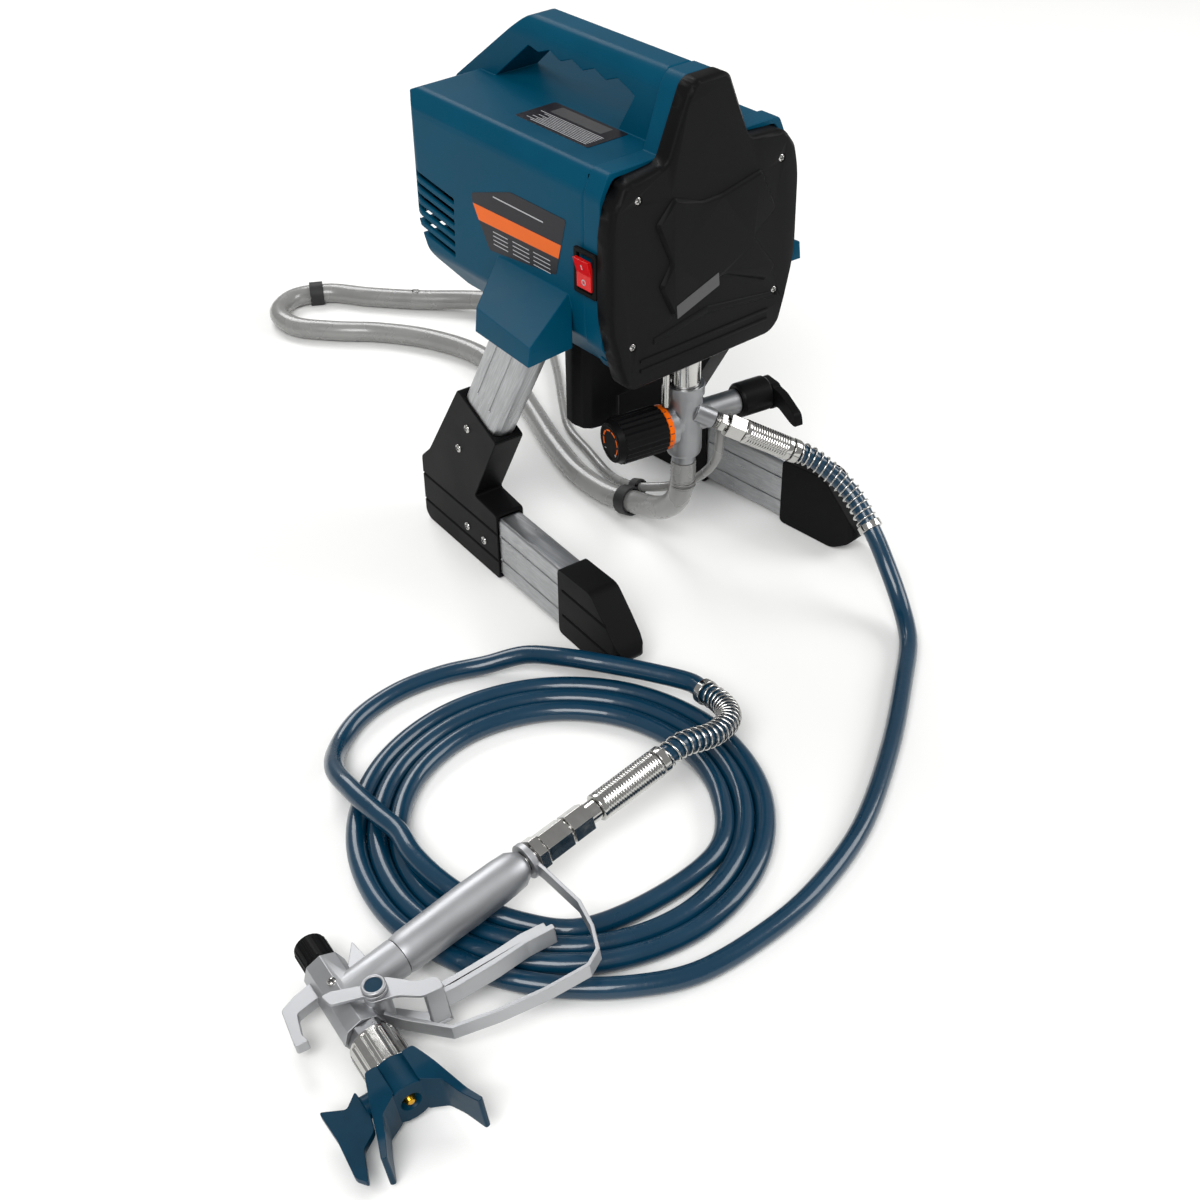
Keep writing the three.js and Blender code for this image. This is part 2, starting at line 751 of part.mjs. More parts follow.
const valveBody = join(
  alongX(10, 20 + GAP, 48, 24, VALVE_Z),
  alongX(8, 47, 58, 24, VALVE_Z),
  rod(at(34, 0, VALVE_Z - 8), at(34, 0, VALVE_Z - 17), 4, 12),
);
add(manifold, "prime_valve_body", valveBody, castAluminium);
const collar = cut(
  join(
    aimed(
      turned([[0, 0], [12.5, 0], [14, 2], [14, 26], [12.5, 28], [0, 28]], 32),
      at(48.5, 0, VALVE_Z),
      at(1, 0, 0),
    ),
  ),
  alongX(8.3, 47, 58.5, 24, VALVE_Z),
);
add(manifold, "prime_valve_collar", collar, blackPlastic);
const lever = join(
  plateX([[-14, -6], [-10, 10], [10, 10], [14, -6], [8, -13], [-8, -13]], 76.8, 84, 4),
  plateX([[0, 9], [-20, 7], [-40, -2], [-43, -12], [-36, -12], [-18, -6], [0, -9]], 76.8, 84, 3),
).translate(0, 0, VALVE_Z);
add(manifold, "prime_valve_lever", lever, blackPlastic);

// ---- outlet fittings and bend guard ----
const onLine = (place, from, to, radius, sides = 24) => rod(place(from), place(to), radius, sides);
const nipple = join(onLine(onOutlet, -1, 8, 6), hexBar(onOutlet(1), onOutlet(6), 13));
add(sprayer, "outlet_nipple", nipple, platedSteel);
add(sprayer, "outlet_hose_nut", hexBar(onOutlet(8.3), onOutlet(22), 18), platedSteel);
const ferruleProfile = [[0, 0], [8.8, 0], [9.6, 2], [9.6, 40], [8.6, 43], [0, 43]];
const ferrule = (start, direction) => aimed(turned(ferruleProfile), start, direction);
add(sprayer, "outlet_ferrule", ferrule(onOutlet(22.3), outletRun), platedSteel);
const outletGuardPath = [
  onOutlet(65.6).toArray(),
  onOutlet(84).toArray(),
  [90, -181, 84],
  [88, -210.5, 62],
];
add(sprayer, "outlet_spring", hose(outletGuardPath, GUARD_RADIUS, 12, 5), platedSteel);

// ---- coiled paint hose ----
const onCoil = (turn, radius, z) => [
  COIL_CENTRE[0] + radius * Math.cos(degrees(turn)),
  COIL_CENTRE[1] + radius * Math.sin(degrees(turn)),
  z,
];
const LIE = PAINT_HOSE_RADIUS + 0.25; // height of the middle of a hose on the floor
const leadPath = [
  [87.8, -211.8, 60.8],
  [86, -232, 38],
  [78, -256, 17.5],
  [60, -281, 8.6],
  [20, -312.5, LIE + 0.2],
  [-47, -359.5, LIE],
  [-122, -401.5, LIE],
  [-180, -420, LIE],
  [-225, -426.5, LIE],
];
add(sprayer, "paint_hose_lead", hose(leadPath, PAINT_HOSE_RADIUS, 10, 18), hoseJacket);
const STRAND = 2 * PAINT_HOSE_RADIUS;
const coilInner = COIL_OUTER - COIL_TURNS * STRAND;
const coilProfile = [
  [coilInner, 3],
  [coilInner + 3, 0],
  [COIL_OUTER - 3, 0],
  [COIL_OUTER, 3],
  [COIL_OUTER, STRAND - 3],
  [COIL_OUTER - 3, STRAND],
  [coilInner + 3, STRAND],
  [coilInner, STRAND - 3],
  [coilInner, 3],
];
add(
  sprayer,
  "paint_hose_coil",
  turned(coilProfile, 40).translate(...COIL_CENTRE, 0),
  hoseJacket,
);
const OVER = STRAND + PAINT_HOSE_RADIUS + 1.1; // height of a strand that crosses the coil
const GUARD_START = [-117, -237.5, 24.6];
const loopPath = [
  onCoil(155, 116, OVER),
  onCoil(146, 128, OVER),
  onCoil(136, 148, OVER - 0.1),
  onCoil(127, 168, 16.8),
  onCoil(117, 181, LIE + 0.4),
  onCoil(106, 187, LIE),
  onCoil(94, 187, LIE),
  onCoil(82, 183, LIE),
  onCoil(72, 176, 9.5),
  onCoil(62, 169, 17.5),
  onCoil(52, 156, OVER),
  onCoil(40, 150, OVER),
  onCoil(25, 150, OVER),
  [GUARD_START[0] + 1, GUARD_START[1] + 12, GUARD_START[2] - 1.4],
  [GUARD_START[0] + 0.1, GUARD_START[1] + 0.8, GUARD_START[2] - 0.1],
];
add(sprayer, "paint_hose_loop", hose(loopPath, PAINT_HOSE_RADIUS, 10, 24), hoseJacket);

// ---- suction and return hoses ----
const FLOOR_RUN = SUCTION_HOSE_RADIUS + 0.1;
const suctionPath = [
  [0, PUMP_Y, 103.5],
  [0, -84, 86],
  [3, -75, 62],
  [7, -57, 42],
  [12, -34, 28],
  [14, -8, 19],
  [12, 24, 12.5],
  [15, 68, FLOOR_RUN],
  [30, 124, FLOOR_RUN],
  [51, 182, FLOOR_RUN],
  [74, 250, FLOOR_RUN],
  [78, 310, FLOOR_RUN],
  [60, 366, FLOOR_RUN],
  [30, 410, FLOOR_RUN],
  [-2, 442, FLOOR_RUN],
  [-28, 478, FLOOR_RUN],
  [-24, 514, FLOOR_RUN],
  [6, 532, FLOOR_RUN],
  [40, 518, FLOOR_RUN],
  [66, 484, FLOOR_RUN],
  [102, 441, FLOOR_RUN + 1],
  [139, 400, 14],
  [156, 372, 17.5],
];
const suctionHose = hose(suctionPath, SUCTION_HOSE_RADIUS, 12, 34);
add(sprayer, "suction_hose", suctionHose, clearVinyl);
const RETURN_LIE = RETURN_HOSE_RADIUS + 0.2;
const valvePort = manifold.localToWorld(at(34, 0, VALVE_Z - 17.7)).toArray();
const returnPath = [
  valvePort,
  [valvePort[0] + 1, valvePort[1] + 1, 112],
  [42, -78, 84],
  [46, -52, 52],
  [38, -26, 34],
  [27, -4, 27],
  [30, 24, 16],
  [40, 58, 5.6],
  [52, 100, RETURN_LIE],
  [64, 143, RETURN_LIE],
  [90, 186, RETURN_LIE],
  [119, 229, RETURN_LIE],
  [148, 276, RETURN_LIE],
];
add(sprayer, "return_hose", hose(returnPath, RETURN_HOSE_RADIUS, 8, 22), clearVinyl);

// A band around a hose at a share of the length of its route.
function band(points, share, width, inner, outer) {
  const line = route(points);
  const middle = line.getPointAt(share);
  const heading = line.getTangentAt(share);
  const ring = turned(
    [[inner, -width / 2], [outer, -width / 2], [outer, width / 2], [inner, width / 2], [inner, -width / 2]],
    16,
  );
  return aimed(ring, middle, heading);
}
const fullTube = (points, radius, steps) => hose(points, radius, 12, steps);
const CLIP_AT = [0.14, 0.33]; // shares of the two hose lengths
const clipRing = band(suctionPath, CLIP_AT[0], 12, SUCTION_HOSE_RADIUS + 1, SUCTION_HOSE_RADIUS + 3);
const clipHook = band(returnPath, CLIP_AT[1], 10, RETURN_HOSE_RADIUS, RETURN_HOSE_RADIUS + 3);
const clipWeb = rod(route(suctionPath).getPointAt(CLIP_AT[0]), route(returnPath).getPointAt(CLIP_AT[1]), 4, 8);
const clip = cut(
  join(clipRing, clipHook, clipWeb),
  fullTube(suctionPath, SUCTION_HOSE_RADIUS + 0.7, 34),
  fullTube(returnPath, RETURN_HOSE_RADIUS + 0.9, 22),
  box(-200, 200, -200, 200, -10, 0.2),
);
add(sprayer, "hose_clip", clip, blackPlastic);
const strap = cut(
  band(suctionPath, 0.79, 14, SUCTION_HOSE_RADIUS + 0.8, SUCTION_HOSE_RADIUS + 2.6),
  fullTube(suctionPath, SUCTION_HOSE_RADIUS + 0.7, 34),
  box(-200, 200, 300, 700, -10, 0.2),
);
add(sprayer, "hose_strap", strap, blackPlastic);
const strainer = join(
  turned([[0, 0], [10.5, 0], [10.5, 14], [16, 18], [16, 58], [14, 62], [0, 62]], 24),
);
const hoseEnd = at(...suctionPath.at(-1));
const hoseHeading = route(suctionPath).getTangentAt(1);
add(
  sprayer,
  "inlet_strainer",
  aimed(strainer, hoseEnd.clone().addScaledVector(hoseHeading, 0.8), hoseHeading),
  castAluminium,
);

// ---- spray gun: x is the way that the nozzle points, y runs along the grip, z is up ----
const gun = new THREE.Group();
gun.position.set(...GUN_ORIGIN);
gun.rotation.order = "ZXY";
gun.rotation.z = degrees(GUN_HEADING);
gun.rotation.x = degrees(GUN_TILT);
sprayer.add(gun);
gun.updateMatrixWorld(true);
const gripAxis = at(-0.165, 0.986, 0).normalize();
const onGrip = (s) => at(-10, 0, 0).addScaledVector(gripAxis, s);
const gripPart = (profile, start, sides = 20) => aimed(turned(profile, sides), onGrip(start), gripAxis);
const alongBarrel = (radius, from, to, sides = 20, y = 0) =>
  rod(at(from, y, 0), at(to, y, 0), radius, sides);
const PIVOT = [9.8, 15];
const pivotBore = (radius) => rod(at(...PIVOT, -30), at(...PIVOT, 30), radius, 16);

const gunBody = cut(
  join(
    alongBarrel(14, -37, 22, 8, -1),
    onLine(onGrip, 0, 41.7, 12.8, 16),
    rod(at(...PIVOT, -13.8), at(...PIVOT, 13.8), 8, 20),
    plateZ(
      [[-31, -8], [-27, -25], [-22, -36], [7, -40], [8, -31], [2, -33], [-14, -29], [-18, -8]],
      -4,
      4,
      2,
    ),
    plateZ([[-44, 22], [-22, 8], [-14, 8], [-18, 25]], -3, 3, 2),
  ),
  pivotBore(4.3),
);
add(gun, "gun_body", gunBody, castAluminium);
const capProfile = [[0, 0], [9, 0], [10.5, 2], [10.5, 22], [8, 24], [0, 24]];
add(gun, "gun_rear_cap", aimed(turned(capProfile), at(-37.3, -1, 0), at(-1, 0, 0)), blackPlastic);
add(gun, "gun_neck_nut", hexBar(at(22.3, 0, 0), at(30, 0, 0), 23), darkSteel);
const RING_LOBES = 10;
const scallops = [];
for (let i = 0; i < RING_LOBES; i++) {
  const turn = (2 * Math.PI * i) / RING_LOBES;
  const [y, z] = [17.2 * Math.cos(turn), 17.2 * Math.sin(turn)];
  scallops.push(rod(at(32, y, z), at(60, y, z), 2.8, 8));
}
const retainer = cut(alongBarrel(15.5, 30.3, 56, 30), alongBarrel(8, 46, 60), ...scallops);
add(gun, "retaining_ring", retainer, platedSteel);

const TIP_X = 67;
const wing = (side) =>
  plateZ(
    [[57, 8], [57, 15.5], [64, 18], [111, 32.5], [112, 29], [86, 19], [79, 8]].map(([x, y]) => [
      x,
      side * y,
    ]),
    -16,
    16,
    2,
  );
const guardTrim = plateY(
  [[50, -16], [74, -16], [98, -11], [114, -14], [114, 14], [98, 11], [74, 16], [50, 16]],
  -60,
  60,
  3,
);
const tipGuard = cut(
  join(common(wing(1), guardTrim), common(wing(-1), guardTrim), alongBarrel(16, 56.3, 79.5)),
  rod(at(TIP_X, -60, 0), at(TIP_X, 60, 0), 7.3, 20),
  aimed(turned([[0, 0], [3, 0], [12, 16], [0, 16]], 20), at(73, 0, 0), at(1, 0, 0)),
);
add(gun, "tip_guard", tipGuard, navyPlastic);
const tipKey = join(
  rod(at(TIP_X, -24, 0), at(TIP_X, 14, 0), 7, 20),
  plateZ(
    [
      [55, -24],
      [63, -33],
      [55, -47],
      [78, -46],
      [105, -48],
      [112, -43],
      [92, -36],
      [85, -26],
      [73, -23],
    ],
    -2.5,
    2.5,
    2,
  ),
);
add(gun, "tip_key", tipKey, navyPlastic);

// A strip of even thickness along a line, for a plate that is bent to it.
function ribbon(points, thickness) {
  const side = (sign) =>
    points.map((point, i) => {
      const before = points[Math.max(i - 1, 0)];
      const after = points[Math.min(i + 1, points.length - 1)];
      const run = new THREE.Vector2(after[0] - before[0], after[1] - before[1]).normalize();
      const shift = (sign * thickness) / 2;
      return [point[0] - run.y * shift, point[1] + run.x * shift];
    });
  return [...side(1), ...side(-1).reverse()];
}

const EAR_INSIDE = 14.3;
const EAR_OUTSIDE = 16.6;
const earSide = [[2, 10], [9, 6], [17, 9], [21, 24], [31, 36], [33, 50], [23, 50], [19, 38], [4, 24]];
const triggerBlade = ribbon([[27, 40], [28.5, 60], [28, 85], [26, 108], [27, 128]], 4);
const trigger = cut(
  join(
    plateZ(earSide, EAR_INSIDE, EAR_OUTSIDE, 3),
    plateZ(earSide, -EAR_OUTSIDE, -EAR_INSIDE, 3),
    plateZ([[24.5, 38], [30.5, 38], [32, 50], [26, 50]], -EAR_OUTSIDE + 1, EAR_OUTSIDE - 1, 1),
    plateZ(triggerBlade, -7, 7, 1),
    plateZ(ribbon([[24, 48], [24.5, 66], [24, 88], [22.5, 108], [24, 124]], 6), -7, -5, 1),
    plateZ(ribbon([[24, 48], [24.5, 66], [24, 88], [22.5, 108], [24, 124]], 6), 5, 7, 1),
  ),
  pivotBore(4.3),
);
add(gun, "gun_trigger", trigger, castAluminium);
const strapLine = [
  [19, 14],
  [30, 22],
  [52.5, 42],
  [59, 70],
  [63, 100],
  [63.9, 130],
  [57, 141],
  [40, 147.5],
  [18.9, 151],
  [-18, 147],
  [-26, 145.5],
];
const guardStrap = cut(
  join(plateZ(ribbon(strapLine, 2.6), -5.5, 5.5, 0), onLine(onGrip, 143.2, 147.6, 12.5)),
  onLine(onGrip, 130, 160, 7.4),
  alongBarrel(14.4, -40, 22.3, 8, -1),
  pivotBore(8.4),
);
add(gun, "trigger_guard", guardStrap, castAluminium);
const pivotPin = join(
  rod(at(...PIVOT, -19), at(...PIVOT, 21.7), 4, 16),
  rod(at(...PIVOT, -19), at(...PIVOT, -16.9), 6.5),
  rod(at(...PIVOT, 19.8), at(...PIVOT, 21.7), 6.5),
);
add(gun, "trigger_pivot", pivotPin, tealPlastic);
const lockArm = cut(
  join(
    rod(at(...PIVOT, 16.9), at(...PIVOT, 19.5), 8, 20),
    plateZ([[5, 12], [13, 10], [5, -12], [-4, -14], [-4, -8]], 16.9, 19.5, 2),
  ),
  pivotBore(4.3),
);
add(gun, "trigger_lock", lockArm, platedSteel);

const gripProfile = [
  [0, 0],
  [12.6, 0],
  [13.6, 6],
  [13.8, 30],
  [14.3, 55],
  [13.8, 82],
  [13, 93],
  [9, 100],
  [0, 100],
];
add(gun, "gun_grip", gripPart(gripProfile, 42), castAluminium);
const inletFitting = join(
  onLine(onGrip, 142.3, 151, 7),
  hexBar(onGrip(150), onGrip(157), 21.5),
  onLine(onGrip, 156, 159, 9),
  hexBar(onGrip(158), onGrip(178), 19.5),
);
add(gun, "gun_inlet_fitting", inletFitting, platedSteel);
const swivel = join(hexBar(onGrip(180), onGrip(196), 19), onLine(onGrip, 178.3, 205, 7.5));
add(gun, "gun_swivel_nut", swivel, platedSteel);
const gunFerrule = gripPart([[0, 0], [9, 0], [10, 2], [10, 48], [8, 54.5], [0, 54.5]], 205.3);
add(gun, "gun_ferrule", gunFerrule, platedSteel);

const gunPoint = (s) => gun.localToWorld(onGrip(s));
const gunGuardPath = [
  gunPoint(260.3).toArray(),
  gunPoint(282).toArray(),
  [-162, -297, 47],
  [-134, -283, 36.5],
  [-119, -260, 27.5],
  GUARD_START,
];
add(sprayer, "gun_spring", hose(gunGuardPath, GUARD_RADIUS, 12, 6), platedSteel);

export default sprayer;
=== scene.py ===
import math

import bmesh
import bpy
from mathutils import Matrix, Vector


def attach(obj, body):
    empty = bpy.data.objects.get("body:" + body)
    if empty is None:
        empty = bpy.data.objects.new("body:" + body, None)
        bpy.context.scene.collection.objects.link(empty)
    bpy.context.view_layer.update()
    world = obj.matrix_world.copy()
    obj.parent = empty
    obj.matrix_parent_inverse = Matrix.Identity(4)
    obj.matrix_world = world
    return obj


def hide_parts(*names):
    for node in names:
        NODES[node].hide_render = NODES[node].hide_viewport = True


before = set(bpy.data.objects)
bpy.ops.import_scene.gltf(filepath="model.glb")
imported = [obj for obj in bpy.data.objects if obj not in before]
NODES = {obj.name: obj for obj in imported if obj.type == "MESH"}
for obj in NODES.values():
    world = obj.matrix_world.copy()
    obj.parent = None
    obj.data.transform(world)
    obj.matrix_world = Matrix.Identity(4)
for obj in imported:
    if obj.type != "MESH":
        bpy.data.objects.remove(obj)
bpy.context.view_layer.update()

bl_info = {
    "name": "Airless paint sprayer",
    "version": (1, 0, 0),
    "blender": (4, 5, 0),
    "location": "3D View > Sidebar > Sprayer",
    "description": "Gives the packed paint sprayer its hoses, springs, screws, labels and finishes",
    "category": "Object",
}

MM = 0.001
MACHINE = "machine"


# ---- places, in millimetres in the frame of the whole sprayer ----

def axes(across, up, origin):
    """A frame with x across, y up and z out of the surface that it lies on."""
    across, up = Vector(across).normalized(), Vector(up).normalized()
    turn = Matrix((across, up, across.cross(up))).transposed().to_4x4()
    return Matrix.Translation(origin) @ turn


def along(start, direction):
    """A frame whose z axis runs from start along a direction."""
    turn = Vector(direction).to_track_quat("Z", "Y").to_matrix().to_4x4()
    return Matrix.Translation(start) @ turn


def shift(x, y, z=0.0):
    return Matrix.Translation((x, y, z))


FACING_LEFT = ((0, -1, 0), (0, 0, 1))
FACING_FRONT = ((1, 0, 0), (0, 0, 1))
SIDE_FACE_X = -88.0  # left wall of the housing
TOP_FACE_Z = 366.0  # top of the housing beside the handle
COVER_FACE_Y = -108.5  # raised panel of the front cover
COVER_RIM_Y = -103.9  # rim of the front cover, where the screws sit
TOE_OUT = math.radians(-4.59)
LEG_LEAN = math.radians(30.5)
LEFT_LEG = Matrix.Translation((-126.7, 0, 0)) @ Matrix.Rotation(TOE_OUT, 4, "Z")
RIGHT_LEG = Matrix.Scale(-1, 4, (1, 0, 0)) @ LEFT_LEG
MANIFOLD = Matrix.Translation((0, -84.5, 140)) @ Matrix.Rotation(math.radians(-10), 4, "Z")
GUN = (
    Matrix.Translation((-476, -317.5, 20.5))
    @ Matrix.Rotation(math.radians(-97.8), 4, "Z")
    @ Matrix.Rotation(math.radians(7.5), 4, "X")
)
GRIP = Vector((-0.165, 0.986, 0)).normalized()
OUTLET_BASE = Vector((16, -105.5, 143))
OUTLET_RUN = (Vector((63, -140.5, 114)) - OUTLET_BASE).normalized()
COIL_CENTRE = (-265, -261.5)
PIVOT = (9.8, 15)  # middle of the trigger's pivot, in the frame of the gun

CAMERA_PLACE = (-787.3, -939.1, 829.1)
CAMERA_ANGLES = (-39.29, 36.68, -0.80)  # azimuth, elevation and roll in degrees
CAMERA_LENS = 51.3  # on a sensor 36 mm wide


def on_outlet(distance):
    return OUTLET_BASE + OUTLET_RUN * distance


def on_grip(distance):
    return GUN @ (Vector((-10, 0, 0)) + GRIP * distance)


def on_coil(turn, radius, height):
    angle = math.radians(turn)
    return Vector((
        COIL_CENTRE[0] + radius * math.cos(angle),
        COIL_CENTRE[1] + radius * math.sin(angle),
        height,
    ))


# ---- colours and sizes that a user may change ----

def linear(code):
    """An sRGB hex colour as linear red, green and blue."""
    shares = [int(code[i:i + 2], 16) / 255 for i in (1, 3, 5)]
    return [s / 12.92 if s <= 0.04045 else ((s + 0.055) / 1.055) ** 2.4 for s in shares]


def colour(name, description, code):
    return bpy.props.FloatVectorProperty(
        name=name, description=description, default=linear(code),
        subtype="COLOR", size=3, min=0, max=1,
    )


def length(name, description, millimetres):
    return bpy.props.FloatProperty(
        name=name, description=description, default=millimetres * MM,
        min=0, unit="LENGTH", precision=5,
    )


class SprayerColours(bpy.types.PropertyGroup):
    """The colour of each finish"""

    housing: colour("Housing", "Teal of the moulded housing", "#00425A")
    black: colour("Black parts", "Moulded cover, elbows, feet and knob", "#0F0F10")
    orange: colour("Orange", "Scale ring, dial marks and label band", "#DA5E08")
    red: colour("Rocker", "Red of the power switch", "#D01212")
    navy: colour("Tip guard", "Navy teal of the tip guard and its key", "#002C40")
    extrusion: colour("Extrusion", "Aluminium of the stand tubes", "#B0B1B3")
    casting: colour("Casting", "Aluminium of the pump block and the gun", "#98999B")
    plating: colour("Plating", "Nickel on the fittings and springs", "#BDBCB9")
    steel: colour("Steel", "Bare steel of the drive and the neck nut", "#77787A")
    brass: colour("Brass", "Spray tip", "#D9A233")
    hose: colour("Paint hose", "Jacket of the paint hose", "#002F46")
    vinyl: colour("Clear hose", "Suction and return hoses", "#8A8A88")
    label: colour("Label", "Ground of the printed labels", "#1C1B20")
    print_grey: colour("Print", "Ruled lines on the labels", "#A9A9AC")
    sticker: colour("Cover sticker", "Blank grey sticker on the cover", "#4A4A4B")
    floor: colour("Floor", "Plain floor of the stage", "#F2F2F0")


class SprayerSizes(bpy.types.PropertyGroup):
    """The sizes of the pieces made here"""

    paint_hose: length("Paint hose", "Outer diameter of the paint hose", 14.4)
    suction_hose: length("Suction hose", "Outer diameter of the suction hose", 20)
    return_hose: length("Return hose", "Outer diameter of the return hose", 8)
    paint_hose_length: length("Paint hose length", "From ferrule to ferrule", 3770)
    suction_hose_length: length("Suction hose length", "From the pump to the strainer", 955)
    return_hose_length: length("Return hose length", "From the prime valve to its end", 458)
    spring_wire: length("Spring wire", "Wire diameter of the bend guards", 1.7)
    spring_outside: length("Spring outside", "Outer diameter of the bend guards", 18.4)
    spring_pitch: length("Spring pitch", "From one coil of a bend guard to the next", 6)
    screw_head: length("Screw head", "Diameter of the screw heads", 6.4)
    edge_round: length("Edge round", "Rounding of the edges of moulded parts", 0.8)
    metal_round: length("Metal edge round", "Rounding of the edges of metal parts", 0.4)


# ---- materials ----

# Sockets of a node that mixes colours: three inputs and one output.
MIX_SHARE, MIX_A, MIX_B, MIX_COLOUR = 0, 6, 7, 2


def add_node(tree, kind, feeds=None, **settings):
    """One node with its settings, and the value or link of each input that is named."""
    made = tree.nodes.new(kind)
    for name, value in settings.items():
        setattr(made, name, value)
    for name, value in (feeds or {}).items():
        if isinstance(value, bpy.types.NodeSocket):
            tree.links.new(value, made.inputs[name])
        else:
            made.inputs[name].default_value = value
    return made


def noise(tree, size, turn=(0, 0, 0), stretch=(1, 1, 1), detail=2.0):
    """Noise with features of about size millimetres, drawn out by stretch along turned axes."""
    place = add_node(tree, "ShaderNodeTexCoord").outputs["Object"]
    turned = add_node(tree, "ShaderNodeMapping", {"Vector": place, "Rotation": turn})
    drawn = [1 / (s * size * MM) for s in stretch]
    feeds = {"Vector": turned.outputs["Vector"], "Scale": drawn}
    scaled = add_node(tree, "ShaderNodeMapping", feeds).outputs["Vector"]
    feeds = {"Vector": scaled, "Scale": 1.0, "Detail": detail}
    return add_node(tree, "ShaderNodeTexNoise", feeds).outputs["Fac"]


def ranged(tree, value, low, high, start=0.3, end=0.7):
    """A value between start and end, brought to lie between low and high."""
    feeds = {"Value": value, "From Min": start, "From Max": end, "To Min": low, "To Max": high}
    return add_node(tree, "ShaderNodeMapRange", feeds).outputs["Result"]


def shaded(rgb, share):
    """A colour made darker or lighter, with its alpha."""
    return (*[min(1.0, c * share) for c in rgb], 1.0)


class Finish:
    """One material: a colour and a roughness that drift together, and a relief."""

    def __init__(self, name, rgb, roughness, drift=0.06, drift_mm=45, rough_drift=0.04, **sockets):
        self.material = bpy.data.materials.new(name)
        self.material.use_nodes = True
        self.tree = tree = self.material.node_tree
        self.shader = tree.nodes["Principled BSDF"]
        for socket, value in sockets.items():
            self.shader.inputs[socket.replace("_", " ")].default_value = value
        patches = noise(tree, drift_mm, detail=4)
        tone = add_node(tree, "ShaderNodeMix", {
            MIX_SHARE: ranged(tree, patches, 0, 1),
            MIX_A: shaded(rgb, 1 - drift),
            MIX_B: shaded(rgb, 1 + drift),
        }, data_type="RGBA")
        self.tone = tone.outputs[MIX_COLOUR]
        self.rough = ranged(tree, patches, roughness - rough_drift, roughness + rough_drift)
        self.height = None
        tree.links.new(self.tone, self.shader.inputs["Base Color"])
        tree.links.new(self.rough, self.shader.inputs["Roughness"])

    def relief(self, pattern, depth):
        """Raises the surface by a pattern, depth millimetres from lowest to highest."""
        feeds = {"Height": pattern, "Distance": depth * MM, "Strength": 1.0}
        if self.height:
            feeds["Normal"] = self.height
        self.height = add_node(self.tree, "ShaderNodeBump", feeds).outputs["Normal"]
        self.tree.links.new(self.height, self.shader.inputs["Normal"])
        return self

    def streaks(self, pattern, share, rougher):
        """Darkens the colour where a pattern is low, and makes it rougher there."""
        tree, low, high = self.tree, 0.42, 0.62
        mask = ranged(tree, pattern, 0, 1, low, high)
        feeds = {MIX_SHARE: 1.0, MIX_A: self.tone, MIX_B: (share, share, share, 1)}
        dark = add_node(tree, "ShaderNodeMix", feeds, data_type="RGBA", blend_type="MULTIPLY")
        feeds = {MIX_SHARE: mask, MIX_A: dark.outputs[MIX_COLOUR], MIX_B: self.tone}
        mixed = add_node(tree, "ShaderNodeMix", feeds, data_type="RGBA")
        self.tone = mixed.outputs[MIX_COLOUR]
        tree.links.new(self.tone, self.shader.inputs["Base Color"])
        feeds = {0: self.rough, 1: ranged(tree, pattern, rougher, 0, low, high)}
        self.rough = add_node(tree, "ShaderNodeMath", feeds, operation="ADD").outputs[0]
        tree.links.new(self.rough, self.shader.inputs["Roughness"])


FINISHES = {}


